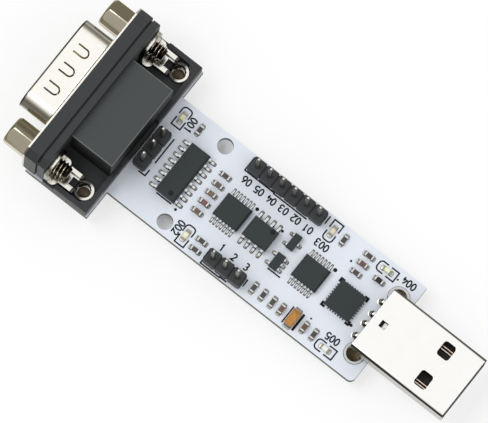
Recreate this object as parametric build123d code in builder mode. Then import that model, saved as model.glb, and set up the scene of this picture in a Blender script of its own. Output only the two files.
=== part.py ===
from build123d import *
from math import cos, hypot, radians, sqrt, tan
import os

# Serial adapter module: a circuit board with a nine-way male connector at one end and a
# rectangular data plug at the other. Frame: +X runs along the board towards the plug,
# +Z is up from the component side, and the origin lies under the middle of the module,
# level with the tips of its tails, which it stands on.

# Board
board_length = 63.3
board_width = 20.0
board_thickness = 1.6
board_corner = 1.0              # the plug end's one rounded corner
head_length = 12.7              # wide stretch under the nine-way connector
head_width = 30.8
tail_length = 1.4               # what every tail stands out below the board
hole_clearance = 0.1            # round each tail, on the radius
hole_sides = 8                  # flats that stand for the round wall of each small hole

mount_hole_inset = 40.2
mount_hole_spacing = 16.0
mount_hole_diameter = 2.75

# Nine-way connector
shell_width = 17.9              # outside of the D, at its widest
shell_height = 9.3
shell_corner = 2.6
shell_slope = 10.0              # degrees that each side leans in
shell_wall = 0.49
shell_reach = 5.85              # from the flange's front face
shell_root = 0.5                # drawn radius where the D meets the flange
shell_lip = 0.22                # rounding of the D's front edge
flange_setback = 0.5            # flange's rear face, ahead of the board's end
flange_width = 30.8
flange_height = 12.5
flange_corner = 1.3
flange_thickness = 0.35
spring_width = 1.7              # spring tongues, each lanced on three sides
spring_length = 2.5
spring_slit_width = 0.2
spring_pitch = 3.85
spring_setback = 1.7            # root of a tongue, behind the lip

insulator_depth = 2.6
insulator_nose = 0.9
insulator_clearance = 0.05
groove_width = 0.3              # groove round the block, where it meets the housing
groove_depth = 0.5
plate_depth = 1.3               # front plate of the housing
plate_drop = 0.15               # it is that much smaller than the block, all round
hood_width = 16.1
hood_height = 11.0
hood_rear = 9.6                 # hood's rear face, behind the front plate's front face
hood_wall = 1.05
hood_back = 0.9                 # its rear wall
hood_edge = 0.15
base_rear = 10.3                # base's rear face, behind the front plate's front face
base_floor = 1.6
rim_height = 3.0
rim_width = 0.9
rim_notch = 7.8                 # break in the rear bar behind the hood
pocket_corner = 1.2

contact_count = 9
contact_pitch = 2.77
contact_row_gap = 2.84
contact_radius = 0.5
contact_recess = 0.7            # pin tips, behind the shell's lip
contact_tip = 0.25              # cone at the pin's tip: its cut on the radius, and its length
contact_tip_length = 0.4
contact_tail_side = 0.6         # square tail behind the round pin
contact_bend = 1.2
tail_row_setback = 8.2          # rear tail row, behind the front plate's front face

jackscrew_spacing = 25.0
hex_across_flats = 4.76
hex_length = 4.45
hex_chamfer = 0.55
stud_radius = 1.42
stud_length = 7.5
stud_clearance = 0.12
tapped_radius = 1.18
tapped_depth = 4.0

bracket_sheet = 0.8
bracket_width = 5.3
bracket_clearance = 0.1
bracket_wing = 2.2              # wing's length, rearward from the housing's front plate
wing_corner = 0.9
channel_width = 3.6
channel_height = 1.7
channel_length = 5.2
channel_window = 1.4
lock_setback = 7.7              # board lock's centre, behind the front plate's front face
lock_radius = 1.5
lock_wall = 0.3
lock_flare = 0.2
lock_slot = 0.9
collar_gap = 1.9                # opening of the lock's collar towards the channel

# Plug
plug_width = 12.0
plug_height = 4.5
plug_length = 18.9
plug_overhang = 15.15
plug_corner = 0.6
plug_wall = 0.3
window_length = 2.25
window_width = 2.7
window_corner = 0.5
window_setback = 6.1            # window's centre, behind the plug's mouth
window_spacing = 6.06
latch_hole = 1.18               # small square hole near the plug's rear
latch_setback = 2.15            # its centre, ahead of the plug's rear
latch_tab = 0.62                # bent tab in that hole: its length and fall
latch_tab_fall = 0.5
latch_tab_sheet = 0.2
latch_clearance = 0.06
latch_pocket = 0.9
leg_width = 2.0
leg_setback = 1.1               # leg's centre, ahead of the plug's rear
leg_hole_radius = 1.4
tongue_thickness = 1.85
tongue_recess = 0.4
tongue_side_gap = 0.2
block_length = 5.6
block_recess = 0.1
block_clearance = 0.04
plug_contact_width = 1.0
plug_contact_thickness = 0.25
plug_contact_proud = 0.06
plug_contact_recess = 1.2
plug_tail_setback = 0.65        # tail's centre, behind the plug's rear
plug_tail_width = 0.65
plug_tail_bend = 0.4
plug_contact_outer = 3.5
plug_contact_inner = 1.0

# Pin headers
header_pitch = 2.54
header_height = 2.54
header_notch = 0.3
header_side = 0.64
header_rise = 8.5               # pin tips above the board
header_taper = 0.16
header_y = 8.2                  # rows along both edges, from the middle
long_header_inset = 27.55
long_header_pins = 6
edge_header_inset = 27.74
inner_header_inset = 49.2
short_header_pins = 3

# Integrated circuits: moulds, leads and places. A lead's span is measured over both rows, and
# its foot is the flat stretch that stands on the board.
mould_draft = 8.0
mark_depth = 0.08
mark_radius = 0.42
bevel = 0.28
wide_mould = dict(width=3.9, bottom=0.15, top=1.65)
wide_lead = dict(span=6.0, width=0.41, sheet=0.2, foot=0.62)
wide_pitch = 1.27
sixteen_length = 9.9
sixteen_inset = 42.8
sixteen_mark = (-3.95, -0.6)
eight_length = 4.9
eight_inset = 26.75
eight_mark = (1.55, 1.3)
fine_mould = dict(length=5.0, width=4.4, bottom=0.1, top=1.1)
fine_lead = dict(span=6.4, width=0.24, sheet=0.13, foot=0.58)
fine_pitch = 0.65
fourteen_insets = (32.5, 16.3)
small_lead = dict(width=0.4, sheet=0.13, foot=0.33)
small_pitch = 0.95
three_mould = dict(length=2.95, width=1.4, bottom=0.05, top=1.05)
three_span = 2.5
three_place = (21.6, 2.35)
five_mould = dict(length=2.95, width=1.6, bottom=0.05, top=1.15)
five_span = 2.8
five_place = (21.8, -1.9)

# Leadless square chip
square_side = 5.0
square_height = 0.85
square_pitch = 0.5
square_terminals = 7            # on each side
terminal_length = 0.4
terminal_width = 0.24
terminal_height = 0.2
square_place = (9.13, -0.05)

# Small two-ended parts. A place is the inset and y of the middle, and the turn from along X.
chip_length = 1.6
chip_width = 0.8
chip_cap = 0.32
capacitor_height = 0.75
resistor_height = 0.5
led_base_height = 0.3
led_lens_height = 0.4
led_lens_length = 1.1
led_lens_draft = 12.0
resistor_places = [(45.1, 7.45, 90), (15.45, 7.75, 90), (22.1, -7.6, 90), (20.17, -7.6, 90),
                   (18.25, -7.6, 90), (9.72, -7.6, 90), (37.1, 4.02, 0), (33.5, -6.85, 0),
                   (33.5, -8.65, 0), (10.6, 8.25, 0), (10.6, 4.7, 0)]
capacitor_places = [(16.43, -7.6, 90), (11.65, -7.6, 90), (37.1, 2.1, 0), (37.1, 0.25, 0),
                    (37.1, -1.6, 0), (37.1, -3.46, 0), (10.6, 6.5, 0)]
bead_places = [(6.9, 6.03, 0)]
led_places = [(48.6, 7.3, 90), (36.15, -7.7, 90), (17.8, 7.75, 90), (6.85, 8.2, 0), (6.85, -8.27, 0)]

tantalum_length = 3.2
tantalum_width = 1.6
tantalum_height = 1.6
tantalum_strip = 0.12
tantalum_strip_width = 1.2
tantalum_fold = 0.8
tantalum_place = (14.05, -7.6, 90)

close_to = 0.01                 # how near a face or edge lies to the level that picks it

# Levels and lengths that follow from the sizes above
board_bottom = tail_length
board_top = board_bottom + board_thickness
flange_front = board_length + flange_setback + flange_thickness
overall_length = flange_front + shell_reach + plug_overhang
edge_x = overall_length / 2 - plug_overhang
axis_z = board_top + flange_height / 2
block_front = board_length + flange_setback
plate_front = block_front - insulator_depth
plate_rear = plate_front - plate_depth
jackscrew_y = jackscrew_spacing / 2
lock_inset = plate_front - lock_setback
plug_rear = plug_length - plug_overhang
plug_floor = board_top + plug_wall
tongue_top = plug_floor + tongue_thickness

os.makedirs("parts", exist_ok=True)


def inboard(distance):
    """x of a place that lies this far inboard of the board's plug end."""
    return edge_x - distance


def facing_plug(distance, y=0.0, z=0.0):
    """Plane across the module, facing +X, with its own x along +Y and its own y up."""
    return Plane(origin=(inboard(distance), y, z), x_dir=(0, 1, 0), z_dir=(1, 0, 0))


def upright(y):
    """Plane along the module at that y, with its own x along +X and its own y up."""
    return Plane(origin=(0, y, 0), x_dir=(1, 0, 0), z_dir=(0, -1, 0))


def keep(piece, name):
    """Label a finished piece and write its file."""
    piece.label = name
    export_step(piece, f"parts/{name}.step")


# Where the through-hole tails go. The connector's odd contacts are in its upper row of five,
# and that row's tails are the ones further back.
contact_places = []
for number in range(contact_count):
    upper = number % 2 == 0
    level = 1 if upper else -1
    contact_places.append((
        plate_front - tail_row_setback + (0 if upper else contact_row_gap),
        (number - (contact_count - 1) / 2) * contact_pitch / 2,
        axis_z + level * contact_row_gap / 2,
    ))
contact_tails = [(inboard(inset), y) for inset, y, z in contact_places]
lock_holes = [(inboard(lock_inset), side * jackscrew_y) for side in (-1, 1)]
leg_inset = plug_rear - leg_setback
leg_y = (plug_width - plug_wall) / 2
leg_holes = [(inboard(leg_inset), side * leg_y) for side in (-1, 1)]
plug_contact_ys = [-plug_contact_outer, -plug_contact_inner, plug_contact_inner, plug_contact_outer]
plug_tail_inset = plug_rear + plug_tail_setback
plug_tails = [(inboard(plug_tail_inset), y) for y in plug_contact_ys]


def header_row(inset, y, count, along_x):
    """Centres of a header's pins, in a row along X or along Y."""
    places = []
    for pin in range(count):
        step = (pin - (count - 1) / 2) * header_pitch
        places.append((inboard(inset) + step, y) if along_x else (inboard(inset), y + step))
    return places


headers = {
    "header_six": (header_row(long_header_inset, header_y, long_header_pins, True), True),
    "header_edge": (header_row(edge_header_inset, -header_y, short_header_pins, True), True),
    "header_inner": (header_row(inner_header_inset, 0, short_header_pins, False), False),
}
header_tails = [place for places, along_x in headers.values() for place in places]



def small_hole(radius):
    """A small hole on light flats, cut from the sketch that is open."""
    RegularPolygon(radius, hole_sides, major_radius=False, mode=Mode.SUBTRACT)


contact_hole_radius = contact_tail_side / sqrt(2) + hole_clearance
header_hole_radius = header_side / sqrt(2) + hole_clearance
plug_hole_radius = hypot(plug_tail_width, plug_contact_thickness) / 2 + hole_clearance
lock_hole_radius = lock_radius + hole_clearance

# Circuit board
with BuildPart() as circuit_board:
    with BuildSketch(Plane.XY.offset(board_bottom)) as outline:
        with Locations((inboard(board_length / 2), 0)):
            Rectangle(board_length, board_width)
        with Locations((inboard(board_length - head_length / 2), 0)):
            Rectangle(head_length, head_width)
        near_corner = outline.vertices().group_by(Axis.X)[-1].sort_by(Axis.Y)[0]
        fillet(near_corner, board_corner)
        with Locations(*[(inboard(mount_hole_inset), side * mount_hole_spacing / 2) for side in (-1, 1)]):
            Circle(mount_hole_diameter / 2, mode=Mode.SUBTRACT)
        with Locations(*contact_tails):
            small_hole(contact_hole_radius)
        with Locations(*header_tails):
            small_hole(header_hole_radius)
        with Locations(*plug_tails):
            small_hole(plug_hole_radius)
        with Locations(*lock_holes):
            Circle(lock_hole_radius, mode=Mode.SUBTRACT)
        with Locations(*leg_holes):
            Circle(leg_hole_radius, mode=Mode.SUBTRACT)
    extrude(amount=board_thickness)
keep(circuit_board.part, "circuit_board")


# Nine-way connector

def d_outline(width, height, corner):
    """The connector's D, widest near its top, as a face in the sketch that is open."""
    lean = tan(radians(shell_slope))
    overshoot = corner * (lean + 1 / cos(radians(shell_slope)) - 1)
    top = width / 2 + overshoot
    bottom = top - height * lean
    with BuildSketch(mode=Mode.PRIVATE) as outline:
        Polygon((-bottom, -height / 2), (bottom, -height / 2), (top, height / 2), (-top, height / 2),
                align=None)
        fillet(outline.vertices(), corner)
    add(outline.sketch)


def block_outline(shrink=0.0):
    """The connector's rectangular outline with its corners cut."""
    with BuildSketch(mode=Mode.PRIVATE) as outline:
        Rectangle(flange_width - 2 * shrink, flange_height - 2 * shrink)
        chamfer(outline.vertices(), flange_corner)
    add(outline.sketch)


def jackscrew_holes():
    """Clearance holes for both studs, cut from the sketch that is open."""
    with Locations((-jackscrew_y, 0), (jackscrew_y, 0)):
        Circle(stud_radius + stud_clearance, mode=Mode.SUBTRACT)


inner_width = shell_width - 2 * shell_wall
inner_height = shell_height - 2 * shell_wall
inner_corner = shell_corner - shell_wall
springs = [(y, 1) for y in (-spring_pitch, 0, spring_pitch)]
springs += [(y, -1) for y in (-spring_pitch / 2, spring_pitch / 2)]


def spring_slit(y, face):
    """Slit round three sides of a spring tongue, through the shell's upper or lower wall."""
    root_x = inboard(flange_front + shell_reach - spring_setback)
    outer = spring_width / 2
    inner = outer - spring_slit_width
    centre_x = root_x + spring_length - outer
    with BuildPart(mode=Mode.PRIVATE) as slit:
        with BuildSketch(Plane.XY.offset(axis_z + face * (shell_height - shell_wall) / 2)):
            for radius, mode in ((outer, Mode.ADD), (inner, Mode.SUBTRACT)):
                with Locations(((root_x + centre_x) / 2, y)):
                    Rectangle(centre_x - root_x, 2 * radius, mode=mode)
                with Locations((centre_x, y)):
                    Circle(radius, mode=mode)
        extrude(amount=shell_wall, both=True)
    return slit.part


with BuildPart() as connector_shell:
    with BuildSketch(facing_plug(flange_front, 0, axis_z)):
        block_outline()
        jackscrew_holes()
    extrude(amount=flange_thickness)
    with BuildSketch(facing_plug(flange_front, 0, axis_z)):
        d_outline(shell_width, shell_height, shell_corner)
    extrude(amount=-shell_reach)
    fillet(connector_shell.faces().sort_by(Axis.X)[0].edges(), shell_lip)
    root_edges = connector_shell.edges().filter_by_position(
        Axis.X, inboard(flange_front) - close_to, inboard(flange_front) + close_to
    ).filter_by(lambda edge: abs(edge.center().Y) < shell_width / 2 + close_to
                and abs(edge.center().Z - axis_z) < shell_height / 2 + close_to)
    fillet(root_edges, shell_root)
    with BuildSketch(facing_plug(block_front, 0, axis_z)):
        d_outline(inner_width, inner_height, inner_corner)
    extrude(amount=-(shell_reach + flange_thickness), mode=Mode.SUBTRACT)
    add([spring_slit(y, face) for y, face in springs], mode=Mode.SUBTRACT)
keep(connector_shell.part, "connector_shell")

nose_width = inner_width - 2 * insulator_clearance
nose_height = inner_height - 2 * insulator_clearance
with BuildPart() as connector_insulator:
    with BuildSketch(facing_plug(block_front, 0, axis_z)):
        block_outline()
    extrude(amount=insulator_depth - groove_width)
    with BuildSketch(facing_plug(block_front, 0, axis_z)):
        block_outline(groove_depth)
    extrude(amount=insulator_depth)
    with BuildSketch(facing_plug(block_front, 0, axis_z)):
        d_outline(nose_width, nose_height, inner_corner - insulator_clearance)
    extrude(amount=-insulator_nose)
    with BuildSketch(facing_plug(block_front + insulator_nose, 0, axis_z)):
        Rectangle(flange_width, flange_height)
        with Locations(*[(y, z - axis_z) for inset, y, z in contact_places]):
            small_hole(contact_radius)
        jackscrew_holes()
    extrude(amount=insulator_nose + insulator_depth, mode=Mode.INTERSECT)
keep(connector_insulator.part, "connector_insulator")

hood_length = hood_rear - plate_depth
base_length = base_rear - plate_depth
ear_inner = hood_width / 2
ear_width = flange_width / 2 - ear_inner
with BuildPart() as connector_housing:
    with BuildSketch(facing_plug(plate_front, 0, axis_z)):
        block_outline(plate_drop)
    extrude(amount=plate_depth)
    with BuildSketch(Plane.XY.offset(board_top)):
        with Locations((inboard(plate_rear - base_length / 2), 0)):
            Rectangle(base_length, flange_width)
    extrude(amount=rim_height)
    with BuildSketch(Plane.XY.offset(board_top)):
        with Locations((inboard(plate_rear - hood_length / 2), 0)):
            Rectangle(hood_length, hood_width)
    extrude(amount=hood_height)
    crown = connector_housing.faces().filter_by(Axis.Z).filter_by(
        lambda face: abs(face.center().Z - board_top - hood_height) < close_to)
    crown_edges = crown.edges().filter_by(
        lambda edge: edge.center().X > inboard(plate_rear) + close_to)
    chamfer(crown_edges, hood_edge)
    # Trays of the ears, with a cut corner and a gate for the bracket's wings, and the break in the
    # bar behind the hood
    for side in (-1, 1):
        with BuildSketch(Plane.XY.offset(board_top + base_floor)) as tray:
            tray_length = base_length - rim_width
            tray_width = ear_width - rim_width
            with Locations((inboard(plate_rear - tray_length / 2), side * (ear_inner + tray_width / 2))):
                Rectangle(tray_length, tray_width)
            far_corner = tray.vertices().group_by(Axis.X)[-1].sort_by(Axis.Y)[-1 if side > 0 else 0]
            chamfer(far_corner, pocket_corner)
            gate_length = bracket_wing + bracket_clearance
            with Locations((inboard(plate_rear - gate_length / 2), side * (ear_inner + ear_width / 2))):
                Rectangle(gate_length, ear_width)
        extrude(amount=rim_height, mode=Mode.SUBTRACT)
    with BuildSketch(Plane.XY.offset(board_top + base_floor)):
        with Locations((inboard(plate_rear - (hood_length + base_length) / 2), 0)):
            Rectangle(base_length - hood_length, rim_notch)
    extrude(amount=rim_height, mode=Mode.SUBTRACT)
    # Room for the contacts, open to the insulator and closed by the floor below
    cavity_length = hood_rear - hood_back
    contact_room = (contact_count - 1) / 2 * contact_pitch + contact_tail_side + 2 * hole_clearance
    cavity_width = max(hood_width - 2 * hood_wall, contact_room)
    with BuildSketch(Plane.XY.offset(board_top + base_floor)):
        with Locations((inboard(plate_front - cavity_length / 2), 0)):
            Rectangle(cavity_length, cavity_width)
    extrude(amount=hood_height - base_floor - hood_wall, mode=Mode.SUBTRACT)
    with BuildSketch(Plane.XY.offset(board_top)):
        with Locations(*contact_tails):
            Rectangle(contact_tail_side + 2 * hole_clearance, contact_tail_side + 2 * hole_clearance)
        with Locations(*lock_holes):
            Circle(lock_hole_radius)
    extrude(amount=base_floor, mode=Mode.SUBTRACT)
    with BuildSketch(facing_plug(plate_front, 0, axis_z)):
        with Locations((-jackscrew_y, 0), (jackscrew_y, 0)):
            Circle(stud_radius + stud_clearance)
    extrude(amount=plate_depth, mode=Mode.SUBTRACT)
keep(connector_housing.part, "connector_housing")

pin_tip = flange_front + shell_reach - contact_recess
for number, (tail_inset, y, z) in enumerate(contact_places, start=1):
    with BuildPart() as contact:
        with BuildSketch(upright(y)):
            with BuildLine():
                tip_x = inboard(pin_tip)
                Polyline((tip_x, z), (tip_x, z + contact_radius - contact_tip),
                         (tip_x + contact_tip_length, z + contact_radius),
                         (inboard(plate_front), z + contact_radius), (inboard(plate_front), z), close=True)
            make_face()
        revolve(axis=Axis((0, y, z), (1, 0, 0)))
        with BuildLine(upright(y)):
            FilletPolyline((inboard(plate_front), z), (inboard(tail_inset), z), (inboard(tail_inset), 0),
                           radius=contact_bend)
        with BuildSketch(facing_plug(plate_front, y, z)):
            Rectangle(contact_tail_side, contact_tail_side)
        sweep()
    keep(contact.part, f"contact_{number}")


def bracket(side):
    """Folded bracket that holds the stud behind the housing's front plate and locks to the board."""
    y = side * jackscrew_y
    floor = board_top + base_floor
    with BuildPart() as piece:
        # Upright plate with a round top
        with BuildSketch(facing_plug(plate_rear, y, axis_z)):
            Circle(bracket_width / 2)
            with Locations((0, -(axis_z - floor) / 2)):
                Rectangle(bracket_width, axis_z - floor)
            Circle(stud_radius + stud_clearance / 2, mode=Mode.SUBTRACT)
        extrude(amount=bracket_sheet)
        # Wings, the channel behind them and the flange of the board lock
        lock_x = inboard(lock_inset)
        with BuildSketch(Plane.XY.offset(floor)) as strip:
            with Locations((inboard(plate_rear - bracket_wing / 2), y)):
                Rectangle(bracket_wing, bracket_width)
            fillet(strip.vertices().group_by(Axis.X)[-1], wing_corner)
            with Locations((inboard(plate_rear - channel_length / 2), y)):
                Rectangle(channel_length, channel_width)
            with Locations((inboard(plate_rear - channel_length + bracket_sheet), y)):
                Rectangle(channel_window, channel_window, mode=Mode.SUBTRACT)
            with Locations((lock_x, y)):
                Circle(lock_radius - lock_wall, mode=Mode.SUBTRACT)
        extrude(amount=bracket_sheet)
        with BuildSketch(Plane.XY.offset(floor)):
            with Locations((lock_x, y)):
                Circle(lock_radius + lock_flare)
                Circle(lock_radius - lock_wall, mode=Mode.SUBTRACT)
            with Locations((lock_x - lock_radius, y)):
                Rectangle(2 * lock_radius, collar_gap, mode=Mode.SUBTRACT)
        extrude(amount=bracket_sheet)
        with BuildSketch(Plane.XY.offset(floor)):
            wall_offset = (channel_width - bracket_sheet) / 2
            wall_x = inboard(plate_rear - (bracket_wing + channel_length) / 2)
            with Locations((wall_x, y - wall_offset), (wall_x, y + wall_offset)):
                Rectangle(channel_length - bracket_wing, bracket_sheet)
            with Locations((lock_x, y)):
                Circle(lock_radius + lock_flare, mode=Mode.SUBTRACT)
        extrude(amount=channel_height)
        # Tube through the board, split up to the middle of the board
        with BuildSketch():
            with Locations((lock_x, y)):
                Circle(lock_radius)
                Circle(lock_radius - lock_wall, mode=Mode.SUBTRACT)
        extrude(amount=floor)
        with BuildSketch():
            with Locations((lock_x, y)):
                Rectangle(lock_slot, 3 * lock_radius)
        extrude(amount=board_bottom + board_thickness / 2, mode=Mode.SUBTRACT)
    return piece.part


def jackscrew(side):
    """Hexagonal pillar with a tapped end and a threaded stud."""
    y = side * jackscrew_y
    across_corners = hex_across_flats / cos(radians(30))
    with BuildPart() as piece:
        with BuildSketch(facing_plug(flange_front + hex_length, y, axis_z)):
            RegularPolygon(across_corners / 2, 6, rotation=30)
        extrude(amount=hex_length)
        # Turned chamfer that cuts the corners at the free end
        with BuildSketch(upright(y)):
            with BuildLine():
                front = inboard(flange_front + hex_length)
                rear = inboard(flange_front)
                flat_level = axis_z + hex_across_flats / 2
                corner_level = axis_z + across_corners / 2
                Polyline((front, axis_z), (front, flat_level), (front + hex_chamfer, corner_level),
                         (rear, corner_level), (rear, axis_z), close=True)
            make_face()
        revolve(axis=Axis((0, y, axis_z), (1, 0, 0)), mode=Mode.INTERSECT)
        with BuildSketch(facing_plug(flange_front, y, axis_z)):
            Circle(stud_radius)
        extrude(amount=stud_length)
        with BuildSketch(facing_plug(flange_front + hex_length, y, axis_z)):
            Circle(tapped_radius)
        extrude(amount=tapped_depth, mode=Mode.SUBTRACT)
    return piece.part


for side, hand in ((-1, "left"), (1, "right")):
    keep(bracket(side), f"bracket_{hand}")
    keep(jackscrew(side), f"jackscrew_{hand}")


# Plug

plug_middle = board_top + plug_height / 2
plug_mouth = -plug_overhang
latch_x = inboard(plug_rear - latch_setback)
with BuildPart() as plug_shell:
    with BuildSketch(facing_plug(plug_rear, 0, plug_middle)):
        RectangleRounded(plug_width, plug_height, plug_corner)
        RectangleRounded(plug_width - 2 * plug_wall, plug_height - 2 * plug_wall, plug_corner - plug_wall,
                         mode=Mode.SUBTRACT)
    extrude(amount=plug_length)
    with BuildSketch(Plane.XY.offset(board_top)):
        window_x = inboard(plug_mouth + window_setback)
        with Locations((window_x, -window_spacing / 2), (window_x, window_spacing / 2)):
            RectangleRounded(window_length, window_width, window_corner)
    extrude(amount=plug_height, mode=Mode.SUBTRACT)
    with BuildSketch(Plane.XY.offset(board_top + plug_height - plug_wall)):
        with Locations((latch_x, 0)):
            Rectangle(latch_hole, latch_hole)
    extrude(amount=plug_wall, mode=Mode.SUBTRACT)
    with BuildSketch(upright(0)):
        with BuildLine():
            hinge_x = latch_x + latch_hole / 2
            hinge_z = board_top + plug_height - latch_clearance
            Polyline((hinge_x, hinge_z), (hinge_x - latch_tab, hinge_z - latch_tab_fall),
                     (hinge_x - latch_tab, hinge_z - latch_tab_fall - latch_tab_sheet),
                     (hinge_x, hinge_z - latch_tab_sheet), close=True)
        make_face()
    extrude(amount=latch_hole / 2 - latch_clearance, both=True)
    with BuildSketch():
        with Locations(*leg_holes):
            Rectangle(leg_width, plug_wall)
    extrude(amount=board_top + 2 * plug_corner)
keep(plug_shell.part, "plug_shell")

block_rear = plug_rear - block_recess
contact_front = plug_mouth + plug_contact_recess
contact_middle = tongue_top + plug_contact_proud - plug_contact_thickness / 2
with BuildPart() as plug_tongue:
    lining = 2 * (plug_wall + block_clearance)
    with BuildSketch(facing_plug(block_rear, 0, plug_middle)):
        RectangleRounded(plug_width - lining, plug_height - lining, plug_corner - plug_wall)
    extrude(amount=block_length)
    with BuildSketch(facing_plug(block_rear, 0, plug_floor)):
        with Locations((0, (tongue_thickness + block_clearance) / 2)):
            Rectangle(plug_width - lining - 2 * tongue_side_gap, tongue_thickness - block_clearance)
    extrude(amount=block_rear - plug_mouth - tongue_recess)
    with BuildSketch(facing_plug(block_rear, 0, contact_middle)):
        with Locations(*[(y, 0) for y in plug_contact_ys]):
            Rectangle(plug_contact_width, plug_contact_thickness)
    extrude(amount=block_rear - contact_front, mode=Mode.SUBTRACT)
    with BuildSketch(Plane.XY.offset(board_top + plug_height - latch_pocket)):
        with Locations((latch_x, 0)):
            Rectangle(latch_hole, latch_hole)
    extrude(amount=latch_pocket, mode=Mode.SUBTRACT)
keep(plug_tongue.part, "plug_tongue")

for number, y in enumerate(plug_contact_ys, start=1):
    with BuildPart() as plug_contact:
        with BuildSketch(facing_plug(block_rear, y, contact_middle)):
            Rectangle(plug_contact_width, plug_contact_thickness)
        extrude(amount=block_rear - contact_front)
        with BuildLine(upright(y)):
            tail_x = inboard(plug_tail_inset)
            FilletPolyline((inboard(block_rear), contact_middle), (tail_x, contact_middle), (tail_x, 0),
                           radius=plug_tail_bend)
        with BuildSketch(facing_plug(block_rear, y, contact_middle)):
            Rectangle(plug_tail_width, plug_contact_thickness)
        sweep()
    keep(plug_contact.part, f"plug_contact_{number}")


# Pin headers

for name, (places, along_x) in headers.items():
    count = len(places)
    middle_x = sum(x for x, y in places) / count
    middle_y = sum(y for x, y in places) / count
    turn = 0 if along_x else 90
    with BuildPart() as header_base:
        with BuildSketch(Plane(Location((middle_x, middle_y, board_top), (0, 0, turn)))) as outline:
            Rectangle(count * header_pitch, header_pitch)
            chamfer(outline.vertices(), header_notch)
            joins = [((step - count / 2) * header_pitch, side * header_pitch / 2)
                     for step in range(1, count) for side in (-1, 1)]
            with Locations(*joins):
                Rectangle(header_notch * sqrt(2), header_notch * sqrt(2), rotation=45, mode=Mode.SUBTRACT)
            with GridLocations(header_pitch, 0, count, 1):
                Rectangle(header_side, header_side, mode=Mode.SUBTRACT)
        extrude(amount=header_height)
    keep(header_base.part, f"{name}_base")

    with BuildPart() as header_pins:
        with Locations(*places):
            Box(header_side, header_side, board_top + header_rise,
                align=(Align.CENTER, Align.CENTER, Align.MIN))
        levels = header_pins.faces().filter_by(Axis.Z)
        chamfer(levels.edges(), header_taper)
    keep(header_pins.part, f"{name}_pins")


# Integrated circuits and other chip parts stand on the board, each in a plane of its own whose x
# runs along the part.

def chip_plane(inset, y, turn=0):
    """Plane that a chip part stands on, at its middle."""
    return Plane(Location((inboard(inset), y, board_top), (0, 0, turn)))


def moulded_body(name, frame, length, width, bottom, top, bevel_towards=None, mark=None):
    """Moulded body that is widest at the parting line half way up."""
    parting = (bottom + top) / 2
    with BuildPart() as body:
        with BuildSketch(frame.offset(parting)):
            Rectangle(length, width)
        extrude(amount=top - parting, taper=mould_draft)
        with BuildSketch(frame.offset(parting)):
            Rectangle(length, width)
        extrude(amount=bottom - parting, taper=mould_draft)
        if bevel_towards is not None:
            top_face = body.faces().sort_by(Axis.Z)[-1]
            chamfer(top_face.edges().sort_by(bevel_towards)[-1], bevel)
        if mark is not None:
            with BuildSketch(frame.offset(top)):
                with Locations(mark):
                    Circle(mark_radius)
            extrude(amount=-mark_depth, mode=Mode.SUBTRACT)
    keep(body.part, name)


def gull_wing_leads(name, frame, places, body_half, parting, span, width, sheet, foot):
    """Leads that leave the body at its parting line and stand on the board."""
    tip = span / 2
    ankle = tip - foot
    knee = ankle - (parting - sheet / 2) * tan(radians(mould_draft))
    with BuildPart() as lead:
        with BuildLine(Plane.XZ):
            Polyline((body_half, parting), (knee, parting), (ankle, sheet / 2), (tip, sheet / 2))
        with BuildSketch(Plane(origin=(body_half, 0, parting), x_dir=(0, 1, 0), z_dir=(1, 0, 0))):
            Rectangle(width, sheet)
        sweep(transition=Transition.RIGHT)
    with BuildPart(frame) as leads:
        with Locations(*places):
            add(lead.part)
    keep(leads.part, name)


def row(count, pitch, turn):
    """Places of one row of leads, which point to +Y at a turn of 90 and to -Y at -90."""
    return [Location(((step - (count - 1) / 2) * pitch, 0, 0), (0, 0, turn)) for step in range(count)]


def leaded_chip(name, frame, mould, places, lead, bevel_towards=None, mark=None):
    """A moulded body and its gull-wing leads, as two pieces."""
    moulded_body(f"{name}_body", frame, **mould, bevel_towards=bevel_towards, mark=mark)
    parting = (mould["bottom"] + mould["top"]) / 2
    gull_wing_leads(f"{name}_leads", frame, places, mould["width"] / 2, parting, **lead)


leaded_chip("chip_sixteen", chip_plane(sixteen_inset, 0, 90), dict(wide_mould, length=sixteen_length),
            row(8, wide_pitch, 90) + row(8, wide_pitch, -90), wide_lead,
            bevel_towards=Axis.X, mark=sixteen_mark)
leaded_chip("chip_eight", chip_plane(eight_inset, 0), dict(wide_mould, length=eight_length),
            row(4, wide_pitch, 90) + row(4, wide_pitch, -90), wide_lead, mark=eight_mark)
for name, inset in zip(("chip_fourteen_a", "chip_fourteen_b"), fourteen_insets):
    leaded_chip(name, chip_plane(inset, 0), fine_mould,
                row(7, fine_pitch, 90) + row(7, fine_pitch, -90), fine_lead, bevel_towards=Axis.X)
leaded_chip("chip_three", chip_plane(*three_place, 90), three_mould,
            row(2, 2 * small_pitch, 90) + row(1, small_pitch, -90), dict(small_lead, span=three_span))
leaded_chip("chip_five", chip_plane(*five_place, 90), five_mould,
            row(2, 2 * small_pitch, 90) + row(3, small_pitch, -90), dict(small_lead, span=five_span))

# Leadless square chip: its terminals lie in its lower edge, flush with side and underside
square_plane = chip_plane(*square_place)
square_sides = [Location((0, 0, 0), (0, 0, turn)) for turn in (0, 90, 180, 270)]
square_steps = [(step - (square_terminals - 1) / 2) * square_pitch for step in range(square_terminals)]
terminal_x = (square_side - terminal_length) / 2
square_ends = [side * Location((terminal_x, step, 0)) for side in square_sides for step in square_steps]
with BuildPart(square_plane) as square_chip_terminals:
    with Locations(*square_ends):
        Box(terminal_length, terminal_width, terminal_height, align=(Align.CENTER, Align.CENTER, Align.MIN))
keep(square_chip_terminals.part, "square_chip_terminals")
with BuildPart() as square_chip_body:
    with Locations(square_plane.location):
        Box(square_side, square_side, square_height, align=(Align.CENTER, Align.CENTER, Align.MIN))
    add(square_chip_terminals.part, mode=Mode.SUBTRACT)
keep(square_chip_body.part, "square_chip_body")


# Small two-ended parts

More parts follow.
